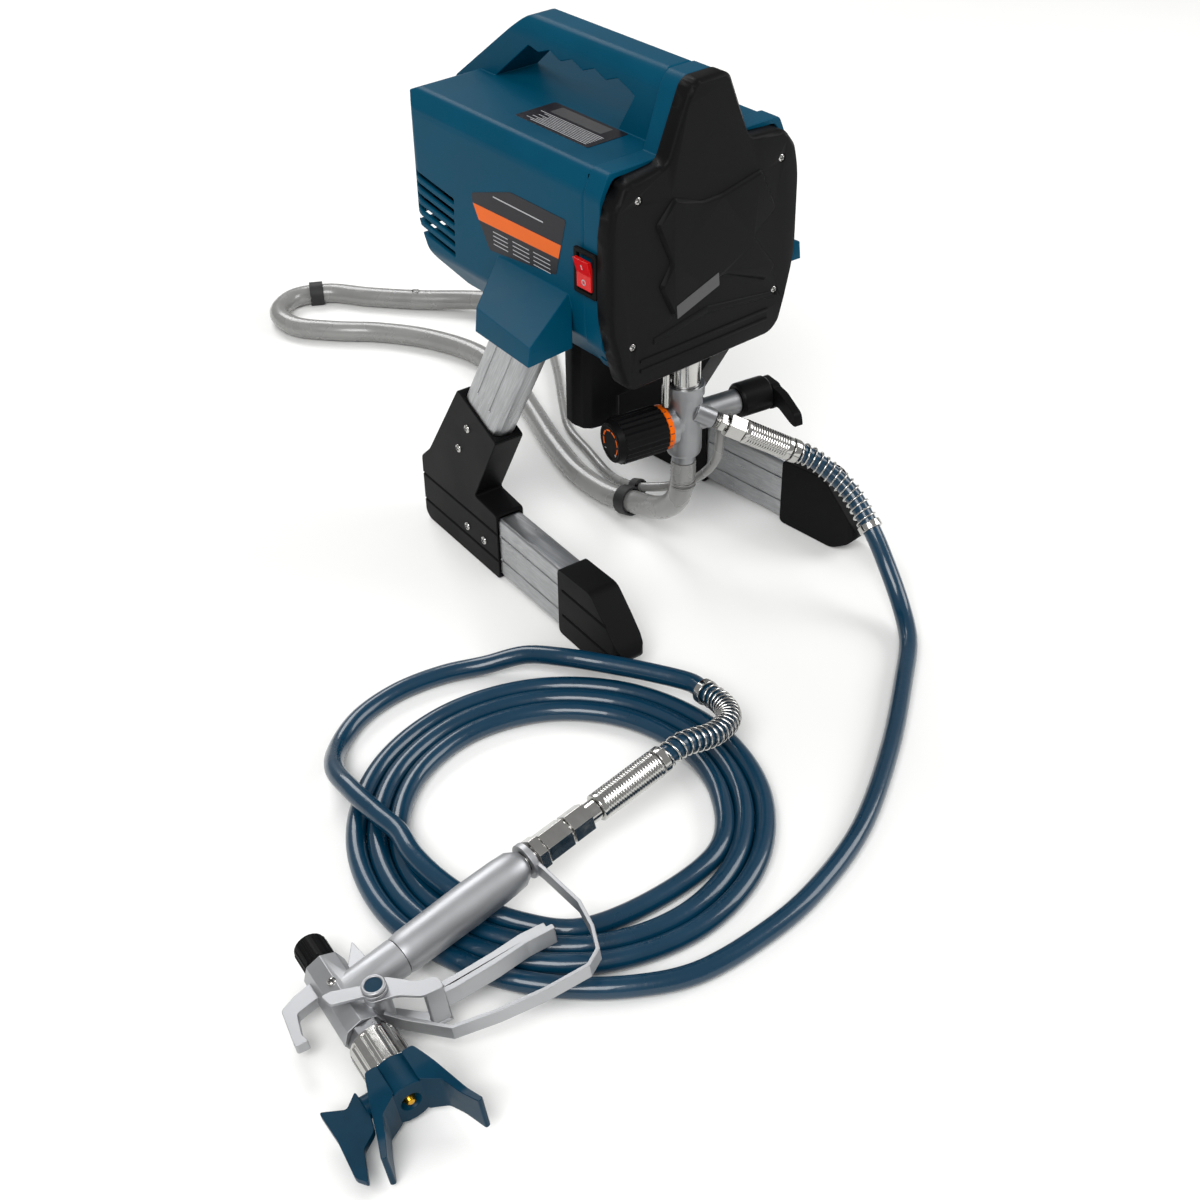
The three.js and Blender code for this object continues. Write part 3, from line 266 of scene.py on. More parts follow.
def make_finishes(colours):
    """Makes each material once, from the colours of the panel."""
    c = {name: list(getattr(colours, name)) for name in SprayerColours.__annotations__}

    def moulded(name, rgb, roughness, grit, depth, **sockets):
        made = Finish(name, rgb, roughness, IOR=1.53, Specular_IOR_Level=0.06, **sockets)
        return made.relief(noise(made.tree, grit), depth)

    # ABS moulded in a spark-eroded tool: satin, with a fine even grain and slightly cloudy colour.
    FINISHES["teal_abs"] = moulded("moulded_teal_abs", c["housing"], 0.4, 0.7, 0.035)
    # Glass-filled nylon from a coarser tool: nearly matt, with a grain that breaks up highlights.
    FINISHES["black_nylon"] = moulded("moulded_black_nylon", c["black"], 0.47, 0.9, 0.06)
    # Polypropylene of the knob and collar: smoother, so its ribs carry a soft shine.
    FINISHES["black_polypropylene"] = moulded(
        "moulded_black_polypropylene", c["black"], 0.36, 0.6, 0.02,
    )
    # Neoprene strap and clip: dull, with a dusty bloom.
    rubber = Finish("moulded_black_rubber", c["black"], 0.62, drift=0.2, drift_mm=12, IOR=1.52)
    FINISHES["rubber"] = rubber.relief(noise(rubber.tree, 1.2), 0.05)
    # Orange ABS insert, moulded smooth.
    FINISHES["orange_abs"] = moulded("moulded_orange_abs", c["orange"], 0.34, 0.6, 0.02)
    # Red polycarbonate: glossy and lit from inside its thickness.
    FINISHES["red_polycarbonate"] = moulded(
        "moulded_red_polycarbonate", c["red"], 0.14, 2.0, 0.01,
        Coat_Weight=0.25, Coat_Roughness=0.08, Transmission_Weight=0.1,
    )
    # Acetal of the tip guard: waxy satin, with faint flow marks from the gate.
    acetal = Finish("moulded_navy_acetal", c["navy"], 0.36, drift=0.12, drift_mm=14,
                    IOR=1.48, Specular_IOR_Level=0.12)
    FINISHES["navy_acetal"] = acetal.relief(noise(acetal.tree, 0.8), 0.03)

    # Extruded aluminium, mill finish: long fine die lines, drawn three times their real width so
    # that they show, with grey handling marks across them.
    for name, turn in (
        ("foot_extrusion_left", (math.pi / 2, 0, TOE_OUT)),
        ("foot_extrusion_right", (math.pi / 2, 0, -TOE_OUT)),
        ("leg_extrusion", (-LEG_LEAN, 0, 0)),
    ):
        made = Finish("extruded_aluminium_" + name, c["extrusion"], 0.3, drift=0.08,
                      drift_mm=30, rough_drift=0.07, Metallic=1.0, Anisotropic=0.4)
        lines = noise(made.tree, 1.0, turn, (0.9, 0.9, 160), detail=3)
        made.streaks(lines, 0.82, 0.08)
        made.relief(lines, 0.03)
        FINISHES[name] = made
    # Die-cast aluminium, bead blasted: pale grey, softly sparkling, a little darker in patches.
    cast = Finish("bead_blasted_cast_aluminium", c["casting"], 0.4, drift=0.08, drift_mm=18,
                  rough_drift=0.06, Metallic=1.0)
    FINISHES["cast_aluminium"] = cast.relief(noise(cast.tree, 0.55), 0.035)
    # The gun's castings are tumbled and nickel plated: brighter than the pump's, and even.
    gun = Finish("tumbled_gun_casting", shaded(c["casting"], 1.35)[:3], 0.48, drift=0.04,
                 drift_mm=25, rough_drift=0.03, Metallic=1.0)
    FINISHES["gun_casting"] = gun.relief(noise(gun.tree, 0.8, detail=3), 0.015)
    # Bright nickel on turned steel: mirror like, over the faint unevenness of the turned surface.
    plate = Finish("bright_nickel_plate", c["plating"], 0.16, drift=0.05, drift_mm=9,
                   rough_drift=0.06, Metallic=1.0)
    FINISHES["nickel"] = plate.relief(noise(plate.tree, 0.8, detail=3), 0.008)
    # Bare machined steel: mid grey, with an oily uneven sheen.
    bare = Finish("machined_steel", c["steel"], 0.33, drift=0.14, drift_mm=8,
                  rough_drift=0.09, Metallic=1.0)
    FINISHES["steel"] = bare.relief(noise(bare.tree, 0.7), 0.015)
    # Turned brass: warm and bright, with a very fine grain.
    brass = Finish("turned_brass", c["brass"], 0.24, drift=0.1, drift_mm=4, Metallic=1.0)
    FINISHES["brass"] = brass.relief(noise(brass.tree, 0.4), 0.01)
    # Polyurethane hose jacket over braid: wet-looking skin, with slow waves of the braid below it.
    hose = Finish("extruded_polyurethane_jacket", c["hose"], 0.3, drift=0.1, drift_mm=40,
                  IOR=1.5, Specular_IOR_Level=0.3, Coat_Weight=0.5, Coat_Roughness=0.05)
    hose.relief(noise(hose.tree, 7, detail=2), 0.25)
    FINISHES["hose"] = hose.relief(noise(hose.tree, 1.1), 0.015)
    # Plasticised vinyl tube: cloudy and half clear, with a greasy shine.
    FINISHES["vinyl"] = Finish(
        "extruded_clear_vinyl", c["vinyl"], 0.27, drift=0.1, drift_mm=35, rough_drift=0.05,
        IOR=1.54, Transmission_Weight=0.2, Coat_Weight=0.35, Coat_Roughness=0.12,
    )
    # Printed polyester labels under clear film: flat colour, with the film's faint orange peel.
    for name, shade in (
        ("label", "label"), ("label_print", "print_grey"), ("label_orange", "orange"),
        ("label_grey", "sticker"),
    ):
        film = Finish("printed_film_" + name, c[shade], 0.38, drift=0.04, IOR=1.5,
                      Specular_IOR_Level=0.15, Coat_Weight=0.1, Coat_Roughness=0.15)
        FINISHES[name] = film.relief(noise(film.tree, 2.2), 0.01)
    # Painted shade: flat dark colour that stands for the shade in the hollow of a screw head or a
    # sight hole. The scale ticks and the ring mark on the suction hose use the same dark finish.
    pit = Finish("recess_shadow_steel", c["black"], 0.5, IOR=1.5)
    FINISHES["recess"] = pit.relief(noise(pit.tree, 0.5), 0.02)
    # Painted studio floor: dead flat and pale.
    floor = Finish("matt_painted_floor", c["floor"], 0.85, drift=0.01, drift_mm=400, IOR=1.45)
    FINISHES["floor"] = floor.relief(noise(floor.tree, 3), 0.01)


# ---- making pieces ----

def circles(profile, sides):
    """Points of one circle about z for each (radius, height) pair."""
    points = []
    for radius, height in profile:
        for i in range(sides):
            angle = 2 * math.pi * i / sides
            points.append((radius * math.cos(angle), radius * math.sin(angle), height))
    return points


def wall(rows, sides, closed=False):
    """Faces between neighbouring circles, and ends over the first and last unless it is closed."""
    faces = []
    for k in range(rows if closed else rows - 1):
        here, above = k * sides, (k + 1) % rows * sides
        for i in range(sides):
            ahead = (i + 1) % sides
            faces.append((here + i, here + ahead, above + ahead, above + i))
    if not closed:
        faces += [tuple(range(sides)), tuple(range((rows - 1) * sides, rows * sides))]
    return faces


class Maker:
    """Collects closed forms for one piece. Lengths are in millimetres."""

    def __init__(self):
        self.mesh = bmesh.new()

    def form(self, points, faces, place=None, finish=0):
        place = place or Matrix.Identity(4)
        corners = [self.mesh.verts.new((place @ Vector(p)) * MM) for p in points]
        made = []
        for face in faces:
            made.append(self.mesh.faces.new([corners[i] for i in face]))
            made[-1].material_index = finish
            made[-1].smooth = True
        bmesh.ops.recalc_face_normals(self.mesh, faces=made)
        return self

    def turned(self, profile, place, sides):
        """A form turned about the z axis of its place, from (radius, height) pairs off the axis."""
        return self.form(circles(profile, sides), wall(len(profile), sides), place)

    def ring(self, profile, place, sides=48, finish=0):
        """A closed profile of (radius, height) pairs carried round the z axis."""
        faces = wall(len(profile), sides, closed=True)
        return self.form(circles(profile, sides), faces, place, finish)

    def plate(self, edge, low, high, place, finish=0):
        """A plate whose outline lies in the x and y of its place, between two heights."""
        count = len(edge)
        points = [(x, y, z) for z in (low, high) for x, y in edge]
        faces = [tuple(range(count)), tuple(range(count, 2 * count))]
        faces += [(i, (i + 1) % count, count + (i + 1) % count, count + i) for i in range(count)]
        return self.form(points, faces, place, finish)

    def tube(self, line, radius, sides):
        """A round bar that follows a line of points, with domed ends."""
        points, reach = [], radius * 0.4
        frames = carried(line)
        dome = 0.55  # radius of the end faces, as a share of the bar's
        rings = [(frames[0], -reach, dome), *[(f, 0, 1) for f in frames], (frames[-1], reach, dome)]
        for (centre, out, side, run), step, share in rings:
            for i in range(sides):
                angle = 2 * math.pi * i / sides
                spoke = out * math.cos(angle) + side * math.sin(angle)
                points.append(centre + run * step + spoke * radius * share)
        return self.form(points, wall(len(rings), sides))

    def piece(self, name, body, slot, finishes, bevel=0.0):
        """Ends the piece, which then rides on a body of the frame."""
        data = bpy.data.meshes.new(name)
        self.mesh.to_mesh(data)
        self.mesh.free()
        made = bpy.data.objects.new(name, data)
        bpy.context.scene.collection.objects.link(made)
        for finish in finishes:
            data.materials.append(FINISHES[finish].material)
        soften(made, bevel, weld=False)
        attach(made, body)
        return made


def carried(line):
    """For each point of a line: the point, two directions across the line and one along it."""
    frames, out = [], None
    for i, point in enumerate(line):
        run = (line[min(i + 1, len(line) - 1)] - line[max(i - 1, 0)]).normalized()
        if out is None:
            out = run.orthogonal().normalized()
        out = (out - run * out.dot(run)).normalized()
        frames.append((point, out, run.cross(out), run))
    return frames


def smooth_route(points, step=4.0):
    """Points close together on one smooth curve through the given points."""
    p = [Vector(q) for q in points]
    p = [p[0] * 2 - p[1], *p, p[-1] * 2 - p[-2]]
    line = []
    for a, b, c, d in zip(p, p[1:], p[2:], p[3:]):
        before, here, after = [(v - u).length ** 0.5 for u, v in ((a, b), (b, c), (c, d))]
        leave = ((b - a) / before - (c - a) / (before + here) + (c - b) / here) * here
        reach = ((c - b) / here - (d - b) / (here + after) + (d - c) / after) * here
        count = max(2, round((c - b).length / step))
        for i in range(count):
            t = i / count
            line.append(
                b * (2 * t**3 - 3 * t**2 + 1) + leave * (t**3 - 2 * t**2 + t)
                + c * (3 * t**2 - 2 * t**3) + reach * (t**3 - t**2)
            )
    return [*line, p[-2]]


def helix(line, radius, pitch, steps=18):
    """A coil of wire about a line of points."""
    frames, walked, wire = carried(line), 0.0, []
    for (p, out, side, _), (q, out2, side2, _) in zip(frames, frames[1:]):
        gap = (q - p).length
        count = max(1, round(gap / pitch * steps))
        for i in range(count):
            t = i / count
            angle = 2 * math.pi * (walked + gap * t) / pitch
            spoke = out.lerp(out2, t) * math.cos(angle) + side.lerp(side2, t) * math.sin(angle)
            wire.append(p.lerp(q, t) + spoke.normalized() * radius)
        walked += gap
    return wire


def hose_curve(name, line, diameter, finish, slot, *nodes):
    """A hose along a line: one open curve that stands for the solids it follows."""
    data = bpy.data.curves.new(name, "CURVE")
    data.dimensions = "3D"
    data.bevel_depth = diameter / 2
    data.bevel_resolution = 6
    data.use_fill_caps = True
    spline = data.splines.new("POLY")
    spline.points.add(len(line) - 1)
    for point, place in zip(spline.points, line):
        point.co = (*place * MM, 1)
    spline.use_smooth = True
    data.materials.append(FINISHES[finish].material)
    made = bpy.data.objects.new(name, data)
    bpy.context.scene.collection.objects.link(made)
    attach(made, MACHINE)
    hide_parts(*nodes)
    return made


def soften(piece, width, weld=True, dissolve=True):
    """Rounds the edges of a mesh by a width in metres, and shades its flat faces flat."""
    if weld:
        merge = piece.modifiers.new("Weld", "WELD")
        merge.merge_threshold = 0.01 * MM
    if weld and dissolve:
        flat = piece.modifiers.new("Dissolve", "DECIMATE")
        flat.decimate_type = "DISSOLVE"
        flat.angle_limit = math.radians(1.5)
    if width:
        bevel = piece.modifiers.new("Bevel", "BEVEL")
        bevel.width = width
        bevel.segments = 2
        bevel.limit_method = "ANGLE"
        bevel.angle_limit = math.radians(33)
        bevel.use_clamp_overlap = False
        bevel.miter_outer = "MITER_ARC"
    normals = piece.modifiers.new("Normals", "WEIGHTED_NORMAL")
    normals.keep_sharp = False
    normals.weight = 60


# ---- hoses ----

PAINT_LIE = 7.45  # height of the middle of a paint hose on the floor
OVER = 22.7  # height of a strand that crosses the coil
GUARD_END = (-117, -237.5, 24.6)
# From the spring guard of the pump's outlet down to the floor and forward.
LEAD = [
    (86, -232, 38), (78, -256, 17.5), (60, -281, 8.6), (20, -312.5, 7.65), (-47, -359.5, PAINT_LIE),
    (-122, -401.5, PAINT_LIE), (-180, -420, PAINT_LIE), (-225, -426.5, PAINT_LIE),
]
# On the coil a place is an angle in degrees, a radius and a height.
COIL_RUN_IN = [(-99, 163.5), (-114, 157), (-131, 151)]
COIL_START, COIL_RADIUS = -150, 146.8
COIL_TURN, COIL_POINTS = 30, 34  # degrees from one point to the next, and their number
COIL_PITCH = 14.45  # from one turn to the next
COIL_RISE = [
    (238, 104, 7.6), (214, 103.6, 9.6), (197, 105, 14.2), (181, 108.5, 19.4), (167, 112.6, 22.3),
]
LOOP = [
    (155, 116, OVER), (146, 128, OVER), (136, 148, 22.6), (127, 168, 16.8), (117, 181, 7.85),
    (106, 187, PAINT_LIE), (94, 187, PAINT_LIE), (82, 183, PAINT_LIE), (72, 176, 9.5),
    (62, 169, 17.5), (52, 156, OVER), (40, 150, OVER), (25, 150, OVER),
]
SUCTION = [
    (0, -84.5, 103.5), (0, -84, 86), (3, -75, 62), (7, -57, 42), (12, -34, 28), (14, -8, 19),
    (12, 24, 12.5), (15, 68, 10.1), (30, 124, 10.1), (51, 182, 10.1), (74, 250, 10.1),
    (78, 310, 10.1), (60, 366, 10.1), (30, 410, 10.1), (-2, 442, 10.1), (-28, 478, 10.1),
    (-24, 514, 10.1), (6, 532, 10.1), (40, 518, 10.1), (66, 484, 10.1), (102, 441, 11.1),
    (139, 400, 14), (156, 372, 17.5),
]
VALVE_PORT = MANIFOLD @ Vector((34, 0, -14.7))
RETURN = [
    VALVE_PORT, (VALVE_PORT.x + 1, VALVE_PORT.y + 1, 112), (42, -78, 84), (46, -52, 52),
    (38, -26, 34), (27, -4, 27), (30, 24, 16), (40, 58, 5.6), (52, 100, 4.2), (64, 143, 4.2),
    (90, 186, 4.2), (119, 229, 4.2), (148, 276, 4.2),
]
OUTLET_GUARD = [on_outlet(65.6), on_outlet(84), Vector((90, -181, 84)), Vector((88, -210.5, 62))]
GUN_GUARD = [
    on_grip(260.3), on_grip(282), Vector((-162, -297, 47)), Vector((-134, -283, 36.5)),
    Vector((-119, -260, 27.5)), Vector(GUARD_END),
]


def paint_route():
    """The whole paint hose: outlet, floor, a flat coil wound inwards, over it and up to the gun."""
    coil = [on_coil(turn, radius, PAINT_LIE) for turn, radius in COIL_RUN_IN]
    for i in range(COIL_POINTS):
        inward = COIL_PITCH * i * COIL_TURN / 360
        coil.append(on_coil(COIL_START - COIL_TURN * i, COIL_RADIUS - inward, PAINT_LIE))
    coil += [on_coil(*place) for place in COIL_RISE]
    loop = [on_coil(*place) for place in LOOP]
    near_guard = Vector(GUARD_END) + Vector((1, 12, -1.4))
    return [*OUTLET_GUARD, *LEAD, *coil, *loop, near_guard, *reversed(GUN_GUARD)]


def bend_guard(name, guard, node, sizes):
    """A wound spring over the end of the paint hose, with a turned collar at each end."""
    line = smooth_route(guard, 3)
    wire = sizes.spring_wire / MM
    outside = sizes.spring_outside / MM
    spring = Maker().tube(helix(line, (outside - wire) / 2, sizes.spring_pitch / MM), wire / 2, 8)
    for point, ahead in ((line[0], line[1]), (line[-1], line[-2])):
        collar = [(7.3, 0), (9.3, 0), (9.8, 0.6), (9.8, 5.4), (9.3, 6), (7.3, 6)]
        spring.ring(collar, along(point, ahead - point), 32)
    made = spring.piece(name, MACHINE, "plated_steel", ["nickel"])
    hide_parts(node)
    return made


class SPRAYER_OT_camera(bpy.types.Operator):
    """Puts the camera in front, to the left and above"""

    bl_idname = "sprayer.camera"
    bl_label = "Camera"

    def execute(self, context):
        azimuth, elevation, roll = (math.radians(a) for a in CAMERA_ANGLES)
        back = Vector((
            math.sin(azimuth) * math.cos(elevation),
            -math.cos(azimuth) * math.cos(elevation),
            math.sin(elevation),
        ))
        right = (-back).cross(Vector((0, 0, 1))).normalized()
        up = right.cross(-back)
        right, up = (
            right * math.cos(roll) + up * math.sin(roll),
            up * math.cos(roll) - right * math.sin(roll),
        )
        data = bpy.data.cameras.new("camera")
        data.lens = CAMERA_LENS
        data.sensor_width = 36
        data.clip_start, data.clip_end = 0.05, 50
        camera = bpy.data.objects.new("camera", data)
        turn = Matrix((right, up, back)).transposed().to_4x4()
        camera.matrix_world = Matrix.Translation(Vector(CAMERA_PLACE) * MM) @ turn
        context.scene.collection.objects.link(camera)
        context.scene.camera = camera
        return {"FINISHED"}


class SPRAYER_OT_materials(bpy.types.Operator):
    """Makes the materials from the colours of the panel"""

    bl_idname = "sprayer.materials"
    bl_label = "Materials"

    def execute(self, context):
        make_finishes(context.scene.sprayer_colours)
        return {"FINISHED"}


class SPRAYER_OT_paint_hose(bpy.types.Operator):
    """Lays the paint hose in its flat coil, with a spring guard at each end"""

    bl_idname = "sprayer.paint_hose"
    bl_label = "Paint hose"

    def execute(self, context):
        sizes = context.scene.sprayer_sizes
        outlet = bend_guard("outlet_guard_spring", OUTLET_GUARD, "outlet_spring", sizes)
        gun = bend_guard("gun_guard_spring", GUN_GUARD, "gun_spring", sizes)
        hose = hose_curve(
            "paint_hose", smooth_route(paint_route()), sizes.paint_hose, "hose", "hose_jacket",
            "paint_hose_lead", "paint_hose_coil", "paint_hose_loop",
        )
        return {"FINISHED"}


class SPRAYER_OT_clear_hoses(bpy.types.Operator):
    """Lays the suction hose with its strainer and the return hose beside it"""

    bl_idname = "sprayer.clear_hoses"
    bl_label = "Suction and return hoses"

    def execute(self, context):
        sizes = context.scene.sprayer_sizes
        suction = hose_curve("suction_tube", smooth_route(SUCTION), sizes.suction_hose,
                             "vinyl", "clear_vinyl", "suction_hose")
        back = hose_curve("return_tube", smooth_route(RETURN), sizes.return_hose,
                          "vinyl", "clear_vinyl", "return_hose")
        mark = Maker().ring([(3.6, 0), (4.3, 0), (4.3, 0.3), (3.6, 0.3)],
                            Matrix.Translation((100, 443, 20.9)) @ Matrix.Rotation(0.1, 4, "Y"))
        mark.piece("hose_date_ring", MACHINE, "black_plastic", ["recess"])
        return {"FINISHED"}


# ---- finishes of the frame's own parts ----

MOULDED, METAL = "moulded", "metal"
NODE_FINISH = {
    "teal_abs": (MOULDED, "rear_housing", "front_ring"),
    "black_nylon": (
        MOULDED, "front_cover", "rocker_bezel", "control_box", "left_elbow", "right_elbow",
        "left_foot_cap", "right_foot_cap", "cooling_fan", "gun_rear_cap",
    ),
    "black_polypropylene": (METAL, "pressure_knob", "prime_valve_collar", "prime_valve_lever"),
    "rubber": (METAL, "hose_clip", "hose_strap"),
    "orange_abs": (METAL, "knob_scale_ring"),
    "red_polycarbonate": (METAL, "rocker_switch"),
    "navy_acetal": (METAL, "tip_guard", "tip_key", "trigger_pivot"),
    "foot_extrusion_left": (METAL, "left_foot_tube"),
    "foot_extrusion_right": (METAL, "right_foot_tube"),
    "leg_extrusion": (METAL, "left_leg_tube", "right_leg_tube"),
    "cast_aluminium": (
        METAL, "manifold_block", "prime_valve_body", "pump_collar", "gearbox_casing",
        "drive_gear", "inlet_strainer",
    ),
    "gun_casting": (METAL, "gun_body", "gun_trigger", "trigger_guard", "gun_grip", "trigger_lock"),
    "nickel": (
        METAL, "pump_cylinder", "piston_rod", "motor_shaft", "tie_rod", "outlet_nipple",
        "outlet_hose_nut", "outlet_ferrule", "gun_ferrule", "gun_inlet_fitting",
        "gun_swivel_nut", "retaining_ring",
    ),
    "steel": (METAL, "motor_can", "yoke", "pinion_gear", "gun_neck_nut"),
}
UNROUNDED = ("drive_gear", "pinion_gear", "cooling_fan", "front_cover")
UNDISSOLVED = ("front_cover",)  # its shallow relief needs all its vertices


class SPRAYER_OT_finishes(bpy.types.Operator):
    """Gives each part of the frame its material and rounds its edges"""

    bl_idname = "sprayer.finishes"
    bl_label = "Finishes"

    def execute(self, context):
        sizes = context.scene.sprayer_sizes
        for finish, (kind, *names) in NODE_FINISH.items():
            for name in names:
                node = NODES[name]
                node.data.materials.clear()
                node.data.materials.append(FINISHES[finish].material)
                for face in node.data.polygons:
                    face.use_smooth = True
                round_to = sizes.edge_round if kind == MOULDED else sizes.metal_round
                width = 0 if name in UNROUNDED else round_to
                soften(node, width, dissolve=name not in UNDISSOLVED)
        return {"FINISHED"}


# ---- small pieces ----

def rounded(points, radius, steps=4):
    """An outline with each corner rounded."""
    made = []
    for i, corner in enumerate(points):
        corner = Vector(corner)
        before = Vector(points[i - 1]) - corner
        after = Vector(points[(i + 1) % len(points)]) - corner
        reach = min(radius, before.length * 0.45, after.length * 0.45)
        start, end = corner + before.normalized() * reach, corner + after.normalized() * reach
        for k in range(steps + 1):
            t = k / steps
            made.append(start * (1 - t) ** 2 + corner * 2 * t * (1 - t) + end * t**2)
    return made


def bar(x0, x1, y0, y1):
    """The outline of a rectangle."""
    return [(x0, y0), (x1, y0), (x1, y1), (x0, y1)]


def screw(maker, place, diameter, slot_turn=0.3):
    """A pan head with a cross recess."""
    r = diameter / 2
    maker.turned(
        [(r * 0.96, -0.6), (r, 0), (r * 0.97, 0.6), (r * 0.8, 1.2), (r * 0.45, 1.5), (0.2, 1.55)],
        place, 24,
    )
    w, reach = r * 0.16, r * 0.62
    cross = [(w, w), (w, reach), (-w, reach), (-w, w), (-reach, w), (-reach, -w), (-w, -w),
             (-w, -reach), (w, -reach), (w, -w), (reach, -w), (reach, w)]
    # The cross recess is a dark plate: painted shade in place of its hollow.
    maker.plate(cross, 0.6, 1.62, place @ Matrix.Rotation(slot_turn, 4, "Z"), 1)


COVER_SCREWS = [(-66, 348), (72, 342), (-71, 237), (71, 237)]  # x and z
ELBOW_SCREWS = [(36, 126), (52, 100), (46, 27), (20, 27)]  # y and z beside the leg
FILM = (-0.1, 0.3)  # underside and top of a label
PRINT = (0.1, 0.36)  # underside and top of what is printed on it


class SPRAYER_OT_screws(bpy.types.Operator):
    """Adds the screws of the front cover and the elbows"""

    bl_idname = "sprayer.screws"
    bl_label = "Screws"

    def execute(self, context):
        head = context.scene.sprayer_sizes.screw_head / MM
        cover = Maker()
        for i, (x, z) in enumerate(COVER_SCREWS):
            screw(cover, axes(*FACING_FRONT, (x, COVER_RIM_Y, z)), head, 0.4 + i)
        cover.piece("cover_screws", MACHINE, "plated_steel", ["nickel", "recess"])
        for name, leg in (("left_elbow_screws", LEFT_LEG), ("right_elbow_screws", RIGHT_LEG)):
            maker = Maker()
            for i, (y, z) in enumerate(ELBOW_SCREWS):
                screw(maker, leg @ axes(*FACING_LEFT, (-0.1, y, z)), head + 0.8, 0.2 + 1.3 * i)
            maker.piece(name, MACHINE, "plated_steel", ["nickel", "recess"])
        return {"FINISHED"}


class SPRAYER_OT_labels(bpy.types.Operator):
    """Adds the plain labels: dark film with an orange band and ruled lines"""

    bl_idname = "sprayer.labels"
    bl_label = "Labels"

    def execute(self, context):
        side = axes(*FACING_LEFT, (SIDE_FACE_X, 0, 0))
        shape = [(-61.5, 307), (-12.5, 323), (52.5, 323), (39.5, 276), (-41.5, 267), (-60.5, 299)]
        label = Maker()
        band = [(-60.2, 299.4), (46.2, 301.5), (42.8, 290), (-53.6, 287.6)]
        label.plate(rounded(shape, 2.5), *FILM, side)
        label.plate(band, *PRINT, side, 1)
        for row in range(4):
            y = 283.6 - row * 3.3
            for start, end, up in ((-36, -18, 0), (-12, 8, 0.4), (13, 33, 0.8)):
                label.plate(bar(start, end, y + up, y + up + 0.7), *PRINT, side, 2)
        label.plate(bar(-34, 26, 312, 313), *PRINT, side, 2)
        label.piece("side_label", MACHINE, "black_plastic",
                    ["label", "label_orange", "label_print"])

        top = shift(0, 0, TOP_FACE_Z)
        sheet = Maker()
        sheet.plate(rounded(bar(-60, -22, -43.5, 40.5), 2), *FILM, top)
        sheet.plate(rounded(bar(-37, -25, -30, 28), 1), *PRINT, top, 1)
        for row in range(9):
            x = -41 - row * 2
            sheet.plate(bar(x, x + 0.6, -38, 34 - (row * 7) % 16), *PRINT, top, 2)
        sheet.piece("top_label", MACHINE, "black_plastic", ["label", "label_grey", "label_print"])

        cover = axes(*FACING_FRONT, (0, COVER_FACE_Y, 0))
        blank = Maker()
        outline = [(-31, 248), (10, 262), (9, 272.5), (-32, 258.5)]
        blank.plate(rounded(outline, 0.8), -0.1, 0.25, cover)
        blank.piece("cover_sticker", MACHINE, "black_plastic", ["label_grey"])
        return {"FINISHED"}


class SPRAYER_OT_controls(bpy.types.Operator):
    """Adds the dial marks, the scale ticks and the switch marks"""

    bl_idname = "sprayer.controls"
    bl_label = "Control marks"

    def execute(self, context):
        face = MANIFOLD @ axes(*FACING_LEFT, (-67.0, 0, 0))
        dial = Maker()
        dial.ring([(13.4, -0.2), (14.4, -0.2), (14.4, 0.35), (13.4, 0.35)], face, 48, 1)
        outer = 11.0
        for k in range(6):  # six dashes, each wider than the one before
            turns = [math.radians(-35 + 42 * k + 32 * i / 6) for i in range(7)]
            inner = outer - 0.9 - 0.12 * k
            edge = [(outer * math.cos(t), outer * math.sin(t)) for t in turns]
            edge += [(inner * math.cos(t), inner * math.sin(t)) for t in reversed(turns)]
            dial.plate(edge, -0.1, 0.25, face)
        dial.plate(bar(-8.5, -6.5, -8, -7.4), -0.1, 0.2, face, 2)
        dial.plate(bar(6.5, 8.5, -8, -7.4), -0.1, 0.2, face, 2)
        dial.plate(bar(7.2, 7.8, -8.7, -6.7), -0.1, 0.2, face, 2)
        dial.piece("dial_marks", "pressure_knob", "orange_plastic",
                   ["label_orange", "black_polypropylene", "label_print"])
        ticks = Maker()
        for k in range(9):
            turn = Matrix.Rotation(math.radians(20 + 20 * k), 4, "X")
            place = MANIFOLD @ turn @ axes((1, 0, 0), (0, 1, 0), (-21.3, 0, 18))
            ticks.plate(bar(-1.6, 1.6 if k % 2 else 0.2, -0.35, 0.35), -0.2, 0.12, place)
        ticks.piece("scale_ticks", MACHINE, "black_plastic", ["recess"])

        # The upper half of the rocker stands out and the lower half lies back.
        upper = axes((0, -1, 0), (-3.4, 0, 12), (-93.8, -78, 292.5))
        lower = axes((0, -1, 0), (-0.1, 0, 12), (-93.75, -78, 292.5))
        marks = Maker()
        marks.plate(bar(-0.5, 0.5, 4, 8), -0.15, 0.15, upper)
        circle = [(1.5, -0.15), (2.3, -0.15), (2.3, 0.15), (1.5, 0.15)]
        marks.ring(circle, lower @ shift(0, -6.5), 24)
        marks.piece("rocker_marks", "rocker", "red_plastic", ["label_print"])
        return {"FINISHED"}


